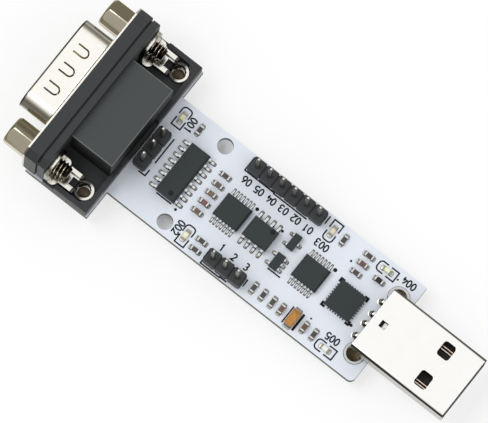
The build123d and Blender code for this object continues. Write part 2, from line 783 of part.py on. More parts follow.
resistor_planes = [chip_plane(*place) for place in resistor_places]
capacitor_planes = [chip_plane(*place) for place in capacitor_places]
bead_planes = [chip_plane(*place) for place in bead_places]
led_planes = [chip_plane(*place) for place in led_places]
core_length = chip_length - 2 * chip_cap
cap_middle = (chip_length - chip_cap) / 2


def chip_cores(name, planes, height):
    """The bodies of like chip parts, between their end caps."""
    with BuildPart() as cores:
        with Locations(*[plane.location for plane in planes]):
            Box(core_length, chip_width, height, align=(Align.CENTER, Align.CENTER, Align.MIN))
    keep(cores.part, name)


def ends(planes):
    """Places of the end caps of chip parts, each with its own x pointing outward."""
    return [plane.location * Location((0, 0, 0), (0, 0, turn)) * Location((cap_middle, 0, 0))
            for plane in planes for turn in (0, 180)]


chip_cores("chip_resistors", resistor_planes, resistor_height)
chip_cores("chip_capacitors", capacitor_planes, capacitor_height)
chip_cores("ferrite_bead", bead_planes, capacitor_height)
with BuildPart() as chip_terminals:
    with Locations(*ends(resistor_planes)):
        Box(chip_cap, chip_width, resistor_height, align=(Align.CENTER, Align.CENTER, Align.MIN))
    with Locations(*ends(capacitor_planes + bead_planes)):
        Box(chip_cap, chip_width, capacitor_height, align=(Align.CENTER, Align.CENTER, Align.MIN))
keep(chip_terminals.part, "chip_terminals")

chip_cores("led_bases", led_planes, led_base_height)
with BuildPart() as led_terminals:
    with Locations(*ends(led_planes)):
        Box(chip_cap, chip_width, led_base_height, align=(Align.CENTER, Align.CENTER, Align.MIN))
keep(led_terminals.part, "led_terminals")
for number, plane in enumerate(led_planes, start=1):
    with BuildPart() as lens:
        with BuildSketch(plane.offset(led_base_height)):
            Rectangle(led_lens_length, chip_width)
        extrude(amount=led_lens_height, taper=led_lens_draft)
    keep(lens.part, f"led_{number}_lens")

# Tantalum capacitor: a moulded body over two strips that fold down and under it
tantalum_plane = chip_plane(*tantalum_place)
moulded_body("tantalum_body", tantalum_plane, tantalum_length - 2 * tantalum_strip, tantalum_width,
             tantalum_strip, tantalum_height)
tantalum_side = Plane(origin=tantalum_plane.origin, x_dir=tantalum_plane.x_dir, z_dir=-tantalum_plane.y_dir)
with BuildPart() as tantalum_terminals:
    half = tantalum_length / 2
    strip_top = (tantalum_height + tantalum_strip) / 2
    with BuildSketch(tantalum_side) as strips:
        with BuildLine():
            Polyline((half - tantalum_fold, 0), (half, 0), (half, strip_top),
                     (half - tantalum_strip, strip_top), (half - tantalum_strip, tantalum_strip),
                     (half - tantalum_fold, tantalum_strip), close=True)
        make_face()
        mirror(about=Plane.YZ)
    extrude(amount=tantalum_strip_width / 2, both=True)
keep(tantalum_terminals.part, "tantalum_terminals")
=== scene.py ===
from collections import namedtuple
from functools import cached_property
from math import cos, hypot, pi, radians, sin

import bmesh
import bpy
from bpy.props import FloatProperty, FloatVectorProperty, PointerProperty
from mathutils import Matrix, Quaternion, Vector


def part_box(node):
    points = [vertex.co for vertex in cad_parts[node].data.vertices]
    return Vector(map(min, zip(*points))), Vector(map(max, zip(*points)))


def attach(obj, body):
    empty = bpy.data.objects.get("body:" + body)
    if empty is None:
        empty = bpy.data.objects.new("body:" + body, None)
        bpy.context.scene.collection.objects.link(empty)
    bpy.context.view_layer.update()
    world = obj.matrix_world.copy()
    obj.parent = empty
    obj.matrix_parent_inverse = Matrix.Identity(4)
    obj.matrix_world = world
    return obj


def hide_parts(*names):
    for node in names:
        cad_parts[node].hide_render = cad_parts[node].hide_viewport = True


bl_info = {
    "name": "Serial Adapter Module",
    "version": (1, 0, 0),
    "blender": (4, 5, 0),
    "location": "3D View > Sidebar > Module",
    "description": "Finishes, print, solder, threads and studio for a bare serial adapter module",
    "category": "Object",
}

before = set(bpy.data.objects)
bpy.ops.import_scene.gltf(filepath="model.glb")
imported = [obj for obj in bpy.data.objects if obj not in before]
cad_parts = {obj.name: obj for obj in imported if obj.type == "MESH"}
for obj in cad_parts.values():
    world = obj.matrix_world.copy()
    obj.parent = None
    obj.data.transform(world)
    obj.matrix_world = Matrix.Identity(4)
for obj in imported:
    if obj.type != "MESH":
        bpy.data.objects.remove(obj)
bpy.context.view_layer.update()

# Shapes are worked out in millimetres and stored in metres
MM = 0.001
BODY = "root"
# Corners closer than this, in metres, are one
SAME_POINT = 1e-6


def box(node):
    """Lowest and highest corner of a CAD node, in millimetres."""
    return [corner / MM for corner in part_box(node)]


board_low, board_high = box("circuit_board")
BOARD_TOP = board_high.z
BOARD_BOTTOM = board_low.z
EDGE_X = board_high.x


def inboard(distance):
    """x of a place that lies this far inboard of the board's plug end."""
    return EDGE_X - distance


# The two screw holes, their distance from the middle line, and how far their walls' tone reaches
SCREW_X = inboard(40.2)
SCREW_Y = 8.0
SCREW_REACH = 1.6
# Both bands of the nine-way shell's lip, and where the spring tongues' slits end, which bound the shell's
# painted shade
LIP = 0.24
LIP_RIM = 0.3
SLITS_ACROSS = 4.9
SLITS_BEHIND_LIP = 4.4
# The housing, from the face of its front plate
HOOD_WIDTH = 16.1
HOOD_FRONT = 1.3
HOOD_REAR = 9.6
STUD_RADIUS = 1.42
STUD_LENGTH = 7.4
COLLAR_RADIUS = 1.7
HEADER_PITCH = 2.54
# Numerals stand this far apart in heights of their own, and their second line this much higher
NUMERAL_STEP = 0.74
NUMERAL_RISE = 0.003
# The plug's small square hole ahead of its rear, and half its width
LATCH_PLACE = 2.15
LATCH_REACH = 0.55
PLUG_REAR = inboard(3.75)
PLUG_WINDOW = (EDGE_X + 7.85, EDGE_X + 10.25)
# A surface faces up, or down, where its normal's upright part is more than this
FACING = 0.6


def tint(code):
    """Scene colour of a display colour written as six hexadecimal digits."""
    levels = [int(code[start:start + 2], 16) / 255 for start in (0, 2, 4)]
    return tuple(level / 12.92 if level <= 0.04045 else ((level + 0.055) / 1.055) ** 2.4 for level in levels)


def colour(name, description, code):
    """A colour that a user may change."""
    return FloatVectorProperty(name=name, description=description, subtype="COLOR", size=3,
                               min=0.0, max=1.0, default=tint(code))


def length(name, description, millimetres):
    """A small length that a user may change."""
    return FloatProperty(name=name, description=description, subtype="DISTANCE", unit="LENGTH",
                         min=0.0, default=millimetres * MM, precision=5)


def level(name, description, default, top=1.0):
    """A plain number that a user may change."""
    return FloatProperty(name=name, description=description, subtype="FACTOR", min=0.0, max=top,
                         default=default)


def angle(name, description, degrees):
    """An angle that a user may change."""
    return FloatProperty(name=name, description=description, subtype="ANGLE", unit="ROTATION",
                         default=radians(degrees))


class BoardLooks(bpy.types.PropertyGroup):
    mask: colour("Solder mask", "White lacquer on both faces of the board", "E6EBF3")
    mask_low: colour("Solder mask, thin", "Where the lacquer is thinner and cooler", "DAE1EC")
    laminate: colour("Laminate", "Cut edge of the glass and epoxy board", "6E6C5D")
    ink: colour("Print", "Ink of the outlines and numbers", "0E0F11")
    print_thickness: length("Print thickness", "How far the ink stands on the mask", 0.02)
    print_stroke: length("Print stroke", "Width of a printed line", 0.25)
    thick_stroke: length("Thick stroke", "Width of the chips' corner marks", 0.42)
    number_height: length("Number height", "Height of the printed numbers", 1.2)


class MetalLooks(bpy.types.PropertyGroup):
    shell: colour("Connector shell", "Bright nickel of the nine-way shell", "FBF9F2")
    bracket: colour("Brackets", "Tin plate of the folded brackets", "F3F1EA")
    jackscrew: colour("Jackscrews", "Nickel of the turned jackscrews", "E2DCCB")
    plug: colour("Plug shell", "Bright nickel of the plug", "FCFBF9")
    gold: colour("Contacts", "Flashed gold of the contacts", "E3C588")
    lead: colour("Leads", "Bright tin of leads and end caps", "DCDDDE")
    solder: colour("Solder", "Reflowed solder on the lands", "D3D3D1")
    # Painted shade: the slope and side colours below are darker colours given to steep and upright faces,
    # for their dim reflections.
    shell_slope_painted_shade: colour("Connector shell slopes", "Drawn slopes and roundings of the shell", "4A432F")
    shell_side_painted_shade: colour("Connector shell sides", "Upright faces of the shell", "CBC5B4")
    bracket_side_painted_shade: colour("Bracket sides", "Cut and folded sides of the brackets", "6F685A")
    jackscrew_slope_painted_shade: colour("Jackscrew slopes", "Facets that turn away from the light", "756944")
    jackscrew_side_painted_shade: colour("Jackscrew sides", "Upright faces of the jackscrews", "C0B590")
    plug_slope_painted_shade: colour("Plug slopes", "Roundings of the plug", "6E6B63")
    plug_side_painted_shade: colour("Plug sides", "Upright faces of the plug", "AFACA3")
    lead_side_painted_shade: colour("Lead sides", "Cut sides and bends of leads and end caps", "34312C")
    solder_side_painted_shade: colour("Solder slopes", "Steep slopes of the solder", "35332F")
    dull_solder: colour("Dull solder", "Thin solder on the square chip's lands", "5F6165")
    # The fluxed solder's dark colour is partly burnt flux and partly painted shade down the large holes.
    flux: colour("Fluxed solder", "Solder under burnt flux in the large holes", "5C5342")
    roughness: level("Polish", "Roughness of the plated sheet", 0.13)
    edge: length("Edge break", "Rounding of folded and blanked edges", 0.07)
    thread_pitch: length("Thread pitch", "Pitch of the jackscrew threads", 0.635)
    thread_depth: length("Thread depth", "Depth of the jackscrew threads", 0.36)


class PlasticLooks(bpy.types.PropertyGroup):
    housing: colour("Connector mouldings", "Black glass-filled plastic of block and hood", "2B2E30")
    # Painted light: the hood's top is painted paler where light falls on it, and its walls darker, as
    # painted shade.
    hood: colour("Hood", "Top of the hood, where the moulding is worn paler", "3E4242")
    hood_wall_painted_shade: colour("Hood walls", "Walls of the hood, in each other's shade", "151617")
    tongue: colour("Plug tongue", "Black plastic inside the plug", "1F1B1A")
    header: colour("Header bases", "Black plastic of the header bases", "3A3E40")
    compound: colour("Chip bodies", "Dark mould compound of the chips", "2D3435")
    roughness: level("Sheen", "Roughness of the black mouldings", 0.42)
    edge: length("Edge break", "Rounding of the mouldings' edges", 0.09)
    fine_edge: length("Fine edge break", "Rounding of chip bodies and header bases", 0.04)


class PartLooks(bpy.types.PropertyGroup):
    glaze: colour("Resistor glaze", "Dark glass over the resistors", "343436")
    ceramic: colour("Ceramic", "White ceramic of the resistors' sides", "C9C7C0")
    ferrite: colour("Bead", "Dark sintered bead", "241E1C")
    lamp_base: colour("Lamp base", "White laminate under each lens", "DEDCD2")
    resin: colour("Tantalum resin", "Orange resin of the tantalum capacitor", "C08632")
    edge: length("Edge break", "Rounding of the larger small parts", 0.05)
    fine_edge: length("Fine edge break", "Rounding of pins, contacts and resistors", 0.03)


class StageLooks(bpy.types.PropertyGroup):
    floor: colour("Floor", "Pale studio floor", "FCFCFC")
    flag: colour("Flags", "Dim flags round the set, seen only in reflections", "8B877B")
    sky: level("Fill", "Level of the soft light from all round", 0.83, 4.0)
    key: level("Key lamp", "Power of the soft lamp, in watts", 4.0, 50.0)
    key_size: length("Key size", "Side of the square soft lamp", 620.0)
    shadow: level("Shadow", "How much of the floor's shading shows to the camera", 0.4)


class CameraLooks(bpy.types.PropertyGroup):
    azimuth: angle("Azimuth", "Round the module from -Y", 23.797)
    elevation: angle("Elevation", "Above the horizon", 79.649)
    roll: angle("Roll", "Turn about the line of sight", 14.522)
    aim: FloatVectorProperty(name="Aim", description="Point at the picture's middle", subtype="TRANSLATION",
                             unit="LENGTH", size=3, default=(-0.003587, 0.001028, 0.005))
    distance: FloatProperty(name="Distance", description="From the aim to the camera", subtype="DISTANCE",
                            unit="LENGTH", min=0.1, default=1.433226)
    focal: FloatProperty(name="Focal length", description="Focal length on a 36 mm sensor, in millimetres",
                         min=10.0, default=649.69)


Axes = namedtuple("Axes", "x y z")


class Signal:
    """A node's output that takes part in arithmetic: each operator adds a Math node."""

    def __init__(self, nodes, socket):
        self.nodes = nodes
        self.socket = socket

    def output(self, name):
        """Another output of the same node."""
        return Signal(self.nodes, self.socket.node.outputs[name])

    def apply(self, operation, *others):
        """A Math node on this signal and, where it needs them, other terms."""
        return self.nodes.maths(operation, self, *others)

    def __add__(self, other):
        return self.apply("ADD", other)

    def __sub__(self, other):
        return self.apply("SUBTRACT", other)

    def __rsub__(self, other):
        return self.nodes.maths("SUBTRACT", other, self)

    def __mul__(self, other):
        return self.apply("MULTIPLY", other)

    def __truediv__(self, other):
        return self.apply("DIVIDE", other)

    def __rtruediv__(self, other):
        return self.nodes.maths("DIVIDE", other, self)

    def __lt__(self, other):
        return self.apply("LESS_THAN", other)

    def __gt__(self, other):
        return self.apply("GREATER_THAN", other)

    def __or__(self, other):
        """The stronger of two masks."""
        return self.apply("MAXIMUM", other)

    def __abs__(self):
        return self.apply("ABSOLUTE")

    __radd__ = __add__
    __rmul__ = __mul__
    __ror__ = __or__


class Nodes:
    """A node tree of a material or a world, built by adding nodes."""

    def __init__(self, owner):
        owner.use_nodes = True
        self.owner = owner
        self.tree = owner.node_tree
        self.tree.nodes.clear()

    def add(self, kind, settings=None, inputs=None, output=0):
        """Add a node: its settings first, then the values or links of its sockets."""
        node = self.tree.nodes.new(kind)
        for name, value in (settings or {}).items():
            if name == "stops":
                self.set_ramp(node.color_ramp, value)
            else:
                setattr(node, name, value)
        for name, value in (inputs or {}).items():
            if isinstance(value, Signal):
                self.tree.links.new(value.socket, node.inputs[name])
            else:
                node.inputs[name].default_value = value
        return Signal(self, node.outputs[output]) if len(node.outputs) else None

    @staticmethod
    def set_ramp(ramp, stops):
        """Stops run from place 0 to place 1 in rising order."""
        for place, shade in stops[1:-1]:
            ramp.elements.new(place)
        for element, (place, shade) in zip(ramp.elements, stops):
            element.color = (*shade, 1.0)

    def maths(self, operation, *terms):
        """A Math node on numbers and signals."""
        return self.add("ShaderNodeMath", {"operation": operation}, dict(enumerate(terms)))

    @cached_property
    def place(self):
        """Place on the module, in millimetres."""
        metres = self.add("ShaderNodeTexCoord", output="Object")
        return self.add("ShaderNodeVectorMath", {"operation": "SCALE"}, {0: metres, "Scale": 1 / MM})

    @cached_property
    def at(self):
        """The three parts of the place."""
        return self.axes(self.place)

    @cached_property
    def up(self):
        """How far the surface faces up: 1 where it lies level, 0 where it is upright."""
        return self.axes(self.add("ShaderNodeTexCoord", output="Normal")).z

    def axes(self, vector):
        """The three parts of a vector."""
        x = self.add("ShaderNodeSeparateXYZ", inputs={0: vector})
        return Axes(x, x.output("Y"), x.output("Z"))

    def ramp(self, signal, start, end):
        """0 at the start and 1 at the end, held level beyond both."""
        return self.add("ShaderNodeMapRange", inputs={"Value": signal, "From Min": start, "From Max": end})

    def spread(self, signal, low, high):
        """A signal of 0 to 1 made to run from one number to another."""
        return self.add("ShaderNodeMapRange", inputs={"Value": signal, "To Min": low, "To Max": high})

    def steepness(self, level=0.96, steep=0.6):
        """0 where a surface lies level, rising to 1 where it is steep."""
        return self.ramp(abs(self.up), level, steep)

    def noise(self, size, detail=2.0, stretch=(1.0, 1.0, 1.0)):
        """Soft noise, 0 to 1, whose features are about that many millimetres long."""
        scaled = self.add("ShaderNodeVectorMath", {"operation": "DIVIDE"},
                          {0: self.place, 1: tuple(size * share for share in stretch)})
        return self.add("ShaderNodeTexNoise", inputs={"Vector": scaled, "Scale": 1.0, "Detail": detail})

    def uneven(self, size, low, high):
        """A level that wanders between two numbers."""
        return self.spread(self.noise(size), low, high)

    def specks(self, size, share):
        """A mask of scattered specks, about that many millimetres apart."""
        return self.add("ShaderNodeTexVoronoi", inputs={"Vector": self.place, "Scale": 1 / size}) < share

    def mix(self, factor, first, second):
        """A colour between two, either of which may be three numbers or a signal."""
        first, second = (shade if isinstance(shade, Signal) else (*shade, 1.0) for shade in (first, second))
        return self.add("ShaderNodeMix", {"data_type": "RGBA"}, {0: factor, 6: first, 7: second}, output=2)

    def bump(self, height, depth, strength=0.5):
        """A normal from heights of 0 to 1 that stand for that many millimetres."""
        return self.add("ShaderNodeBump",
                        inputs={"Height": height, "Distance": depth * MM, "Strength": strength})

    def surface(self, **inputs):
        """Finish a material with one principled shader."""
        named = {name.replace("_", " ").title().replace("Ior", "IOR"): value
                 for name, value in inputs.items()}
        shader = self.add("ShaderNodeBsdfPrincipled", inputs=named)
        self.add("ShaderNodeOutputMaterial", inputs={"Surface": shader})
        return self.owner


def material(name):
    """The empty node tree of a new material."""
    return Nodes(bpy.data.materials.new(name))


def off_axis(first, second):
    """How far a place lies from an axis, from its two offsets."""
    return (first * first + second * second).apply("SQRT")


def mask_finish():
    """White solder mask on both faces, and the laminate's layers on every cut edge."""
    looks = bpy.context.scene.board_looks
    nodes = material("Solder mask")
    layers_per_mm = 5.2
    face = abs(nodes.up) > FACING
    mask = nodes.mix(nodes.noise(7.0, 3.0), looks.mask_low, looks.mask)
    layers = (nodes.at.z * layers_per_mm).apply("FRACT")
    fibres = nodes.mix(nodes.noise(0.25, 3.0, (1.0, 1.0, 0.2)), tint("5F5C4B"), looks.laminate)
    cut = nodes.mix((layers < 0.3) * 0.55, fibres, tint("4A483A"))
    hole = off_axis(nodes.at.x - SCREW_X, abs(nodes.at.y) - SCREW_Y) < SCREW_REACH
    edge = nodes.mix(hole, cut, tint("93948D"))
    orange_peel = nodes.noise(0.55, 1.0)
    weave = nodes.noise(0.3)
    return nodes.surface(
        base_color=nodes.mix(face, edge, mask),
        roughness=nodes.spread(face, 0.8, 0.34) + nodes.noise(2.0) * 0.08,
        normal=nodes.bump(orange_peel * face + weave * (1 - face), 0.012),
    )


def ink_finish():
    """Screen-printed ink, a little uneven."""
    nodes = material("Print ink")
    return nodes.surface(
        base_color=nodes.mix(nodes.noise(0.35, 3.0), bpy.context.scene.board_looks.ink, tint("1E1F23")),
        roughness=nodes.uneven(0.2, 0.45, 0.7),
        specular_ior_level=0.15,
        normal=nodes.bump(nodes.noise(0.12), 0.01, 0.4),
    )


def plated_finish(name, shade, dull, slope, side, roughness, stretch=1.0, tone_at=None, matt_highlight_at=None):
    """Bright plating over drawn or turned metal: faint streaks, dull patches, pinpricks, and painted shade
    on its slopes and upright sides. Its tone may change from place to place, and so may how metallic it is,
    for a painted highlight."""
    nodes = material(name)
    patches = nodes.noise(2.2, 3.0)
    streaks = nodes.noise(0.22, 2.0, (stretch, 1.0, 1.0))
    pricks = nodes.specks(0.7, 0.06)
    level_face = nodes.mix(patches * 0.3 + pricks * 0.25, shade, dull)
    # Painted shade: slopes and upright faces take darker colours by their tilt, for dim reflections.
    slope_painted_shade = nodes.mix(nodes.steepness() * 0.9, level_face, slope)
    upright = nodes.ramp(abs(nodes.up), 0.35, 0.12)
    tone = nodes.mix(upright, slope_painted_shade, side)
    return nodes.surface(
        base_color=tone_at(nodes, tone) if tone_at else tone,
        metallic=1 - matt_highlight_at(nodes) if matt_highlight_at else 1.0,
        roughness=roughness + patches * 0.07 + streaks * 0.06 + pricks * 0.2,
        normal=nodes.bump(streaks * 0.7 + nodes.noise(1.4, 1.0) * 0.3, 0.006, 0.6),
    )


def latch_tab_highlight(nodes):
    """1 on the tab that is bent down into the plug's small square hole, which gets a painted matt white
    highlight.
    """
    low, high = box("plug_shell")
    near = (abs(nodes.at.y) < LATCH_REACH) * (abs(nodes.at.x - low.x - LATCH_PLACE) < LATCH_REACH)
    return near * (nodes.at.z < high.z - 0.05)


def plug_painted_light(nodes, tone):
    """Painted shade, nearly black, where the plug's top turns down into its sides and its mouth, and a
    painted matt white highlight on the latch tab.
    """
    high = box("plug_shell")[1]
    folded = nodes.steepness(0.93, 0.75) * nodes.ramp(nodes.at.z, high.z - 0.75, high.z - 0.45)
    mouth = (nodes.at.x > high.x - 0.14) * (nodes.up > 0.2)
    edge_painted_shade = nodes.mix((folded | mouth) * 0.95, tone, tint("1C1915"))
    return nodes.mix(latch_tab_highlight(nodes), edge_painted_shade, tint("F6F6F4"))


def shell_painted_shade(nodes, tone):
    """Painted shade: dark along the drawn lip and down the slits of the spring tongues, and dim inside the
    mouth.
    """
    low, high = box("connector_shell")
    middle_z = (low.z + high.z) / 2
    behind = nodes.at.x - low.x
    slits = (abs(nodes.at.y) < SLITS_ACROSS) * (behind < SLITS_BEHIND_LIP)
    steep = ((behind < LIP) | slits) * nodes.steepness(0.985, 0.8)
    rim = (behind < LIP_RIM) * (nodes.up > -0.1) * (nodes.at.z > middle_z)
    inside = (nodes.up > 0.5) * (nodes.at.z < middle_z) * (nodes.at.x < high.x - 0.6)
    lip_and_slit_painted_shade = nodes.mix((steep | rim) * 0.95, tone, tint("2A251B"))
    return nodes.mix(inside * 0.9, lip_and_slit_painted_shade, tint("5C5442"))


def contact_tone(nodes, tone):
    """Dull on top of the contacts, in the shell's shade."""
    return nodes.mix(nodes.ramp(nodes.up, 0.2, 0.6) * 0.8, tone, tint("4A3A1E"))


def thread_painted_light(nodes, tone):
    """Painted shade in the grooves of both studs, and a painted highlight on their crests."""
    low, high = box("jackscrew_right")
    middle_y = abs(low.y + high.y) / 2
    radius = off_axis(abs(nodes.at.y) - middle_y, nodes.at.z - (low.z + high.z) / 2)
    crest = nodes.ramp(radius, STUD_RADIUS - 0.14, STUD_RADIUS - 0.02)
    stud = nodes.mix(crest, tint("2A2014"), tint("F6EBD6"))
    return nodes.mix(nodes.at.x > high.x - STUD_LENGTH, tone, stud)


def tinned_finish(name, shade, dull, side, roughness, wave, slopes=(0.985, 0.8)):
    """Tin or solder that froze from a melt: slow waves, cloudy grains and painted shade on its slopes."""
    nodes = material(name)
    grains = nodes.noise(0.18, 3.0)
    clouds = nodes.noise(0.9)
    return nodes.surface(
        # Painted shade: the side colour goes on steep faces.
        base_color=nodes.mix(nodes.steepness(*slopes) * 0.97, nodes.mix(grains * 0.45, shade, dull), side),
        metallic=1.0,
        roughness=roughness + clouds * 0.14 + grains * 0.08,
        normal=nodes.bump(nodes.noise(0.35), wave, 0.8),
    )


def moulded_finish(name, shade, worn, grain, roughness, depth=0.02, tone_at=None):
    """Spark-eroded black moulding with a fine grain, flow marks and scattered light fibres. Its
    tone may change from place to place."""
    nodes = material(name)
    texture = nodes.noise(grain, 3.0)
    flow = nodes.noise(4.0, 3.0, (1.0, 0.5, 1.0))
    fibres = nodes.specks(0.45, 0.05)
    tone = nodes.mix(nodes.spread(flow, 0.1, 0.75), shade, worn)
    return nodes.surface(
        base_color=nodes.mix(fibres * 0.25, tone_at(nodes, tone) if tone_at else tone, tint("55585A")),
        roughness=roughness + texture * 0.16,
        specular_ior_level=0.3,
        normal=nodes.bump(texture, depth, 0.6),
    )


def hood_painted_light(nodes, tone):
    """Painted light on the hood: paler on its top, palest on its chamfers as a painted highlight, and nearly
    black on its walls as painted shade.
    """
    looks = bpy.context.scene.plastic_looks
    behind = nodes.at.x - box("connector_housing")[0].x
    across = abs(nodes.at.y) < HOOD_WIDTH / 2 + 0.1
    hood = across * (behind > HOOD_FRONT + 0.1) * (behind < HOOD_REAR + 0.05)
    crown = hood * (nodes.at.z > BOARD_TOP + 5)
    steep = nodes.steepness()
    top_painted_light = nodes.mix(crown * (1 - steep), tone, looks.hood)
    wall_painted_shade = nodes.mix(hood * steep, top_painted_light, looks.hood_wall_painted_shade)
    return nodes.mix(crown * (nodes.up > 0.35) * (nodes.up < 0.95), wall_painted_shade, tint("6A6F70"))


def cell_painted_shade(node, axis):
    """Painted shade of grooves: dark lines half way between a header's pins."""
    first = min(middle(foot)[axis] for foot in feet(node))

    def tone_at(nodes, tone):
        cells = ((nodes.at[axis] - first) / HEADER_PITCH).apply("FRACT")
        groove = nodes.ramp(abs(cells - 0.5), 0.09, 0.04)
        return nodes.mix(groove * 0.85, tone, tint("0A0A0B"))
    return tone_at


def dimple_tone(top):
    """Dark in the dimple that marks the first lead, below the level of a chip's top."""
    def tone_at(nodes, tone):
        return nodes.mix((nodes.up > 0.9) * (nodes.at.z < top - 0.03), tone, tint("0E1011"))
    return tone_at


def plug_contact_finish(number, middle_y):
    """A contact strip: gold in the plug's mouth and tin behind its shell. Seen through the windows
    it has painted highlights along both edges, and painted shade of the shell between them."""
    looks = bpy.context.scene.metal_looks
    nodes = material(f"Plug contact {number}")
    across = abs(nodes.at.y - middle_y)
    # Painted highlights along the strip's edges and painted shade between them.
    shaded = nodes.mix((across > 0.2) * (across < 0.31), tint("2E221C"), tint("FFF1E4"))
    window = (nodes.at.x > PLUG_WINDOW[0]) * (nodes.at.x < PLUG_WINDOW[1])
    gold = nodes.mix(nodes.noise(0.6, 3.0) * 0.5, looks.gold, tint("A9834A"))
    # Painted shade on the tin's steep faces.
    tin = nodes.mix(nodes.steepness(), looks.lead, looks.lead_side_painted_shade)
    return nodes.surface(
        base_color=nodes.mix(nodes.at.x < PLUG_REAR, nodes.mix(window, gold, shaded), tin),
        metallic=1.0,
        roughness=nodes.uneven(0.3, 0.14, 0.26),
        normal=nodes.bump(nodes.noise(0.5, 1.0), 0.004),
    )


def bracket_finish():
    """Tin plate with painted shade on its steep faces, darker on the side of the lock that faces the
    channel.
    """
    looks = bpy.context.scene.metal_looks
    nodes = material("Tin plate")
    patches = nodes.noise(1.6, 3.0)
    plate = nodes.mix(patches * 0.4, looks.bracket, tint("CFCABD"))
    # Painted shade on steep faces.
    lit = nodes.mix(nodes.steepness() * 0.9, plate, looks.bracket_side_painted_shade)
    lock_x = box("bracket_left")[1].x - COLLAR_RADIUS
    # Darker towards the channel side of the lock.
    lock_side_dark = (nodes.at.x > lock_x - COLLAR_RADIUS) * nodes.ramp(nodes.at.x, lock_x + 0.9, lock_x + 0.1)
    return nodes.surface(
        base_color=nodes.mix(lock_side_dark * 0.94, lit, tint("2E2A24")),
        metallic=1.0,
        roughness=nodes.spread(patches, 0.08, 0.2),
        normal=nodes.bump(nodes.noise(1.0), 0.012, 0.6),
    )


def resistor_finish():
    """Dark glaze on top of a white ceramic block."""
    looks = bpy.context.scene.part_looks
    nodes = material("Resistor glaze")
    glaze = nodes.mix(nodes.noise(1.7, 1.0), looks.glaze, tint("56514C"))
    ceramic = nodes.mix(nodes.noise(0.3), looks.ceramic, tint("A8A59C"))
    top = nodes.up > FACING
    return nodes.surface(
        base_color=nodes.mix(top, ceramic, glaze),
        roughness=nodes.spread(top, 0.6, 0.28) + nodes.noise(0.3) * 0.1,
        specular_ior_level=0.35,
        normal=nodes.bump(nodes.noise(0.2), 0.015),
    )


def capacitor_finish():
    """Fired ceramic whose colour differs from part to part."""
    nodes = material("Capacitor ceramic")
    reach = 0.9
    fired = tint("6E5C4C")
    for distance, y, code in CERAMIC_TINTS:
        near = (abs(nodes.at.x - inboard(distance)) < reach) * (abs(nodes.at.y - y) < reach)
        fired = nodes.mix(near, fired, tint(code))
    return nodes.surface(
        base_color=nodes.mix(nodes.noise(0.25, 3.0) * 0.55, fired, tint("4A3B31")),
        roughness=nodes.uneven(0.3, 0.4, 0.6),
        specular_ior_level=0.35,
        normal=nodes.bump(nodes.noise(0.15), 0.015),
    )


def resin_finish(name, shade, pale, middle):
    """Clear resin over a small pale chip that shows at its middle."""
    nodes = material(name)
    offset = nodes.add("ShaderNodeVectorMath", {"operation": "SUBTRACT"}, {0: nodes.place, 1: middle})
    off = nodes.axes(offset)
    near = nodes.spread(abs(off.x) | abs(off.y), 1.6, -0.9)
    glow = (near | 0.0).apply("MINIMUM", 1.0)
    return nodes.surface(
        base_color=nodes.mix(nodes.noise(0.3) * 0.25, nodes.mix(glow, shade, pale), shade),
        roughness=nodes.uneven(0.5, 0.12, 0.24),
        coat_weight=0.4,
        normal=nodes.bump(nodes.noise(0.4), 0.01, 0.4),
    )


def tantalum_finish(stripe):
    """Orange moulded resin with a darker band at its positive end."""
    nodes = material("Tantalum resin")
    shade = bpy.context.scene.part_looks.resin
    resin = nodes.mix(nodes.spread(nodes.noise(0.45, 3.0), -0.6, 1.5), shade, tint("9C6526"))
    band = (nodes.at.y > stripe - 0.2) * (nodes.at.y < stripe + 0.2)
    return nodes.surface(
        base_color=nodes.mix(band * 0.7, resin, tint("7B5D3D")),
        roughness=nodes.uneven(0.3, 0.35, 0.5),
        normal=nodes.bump(nodes.noise(0.15, 3.0), 0.02),
    )


def on_circle(spot, radius, height, share):
    """A point on a circle about an upright axis, that share of the way round."""
    turn = 2 * pi * share
    return spot[0] + radius * cos(turn), spot[1] + radius * sin(turn), height


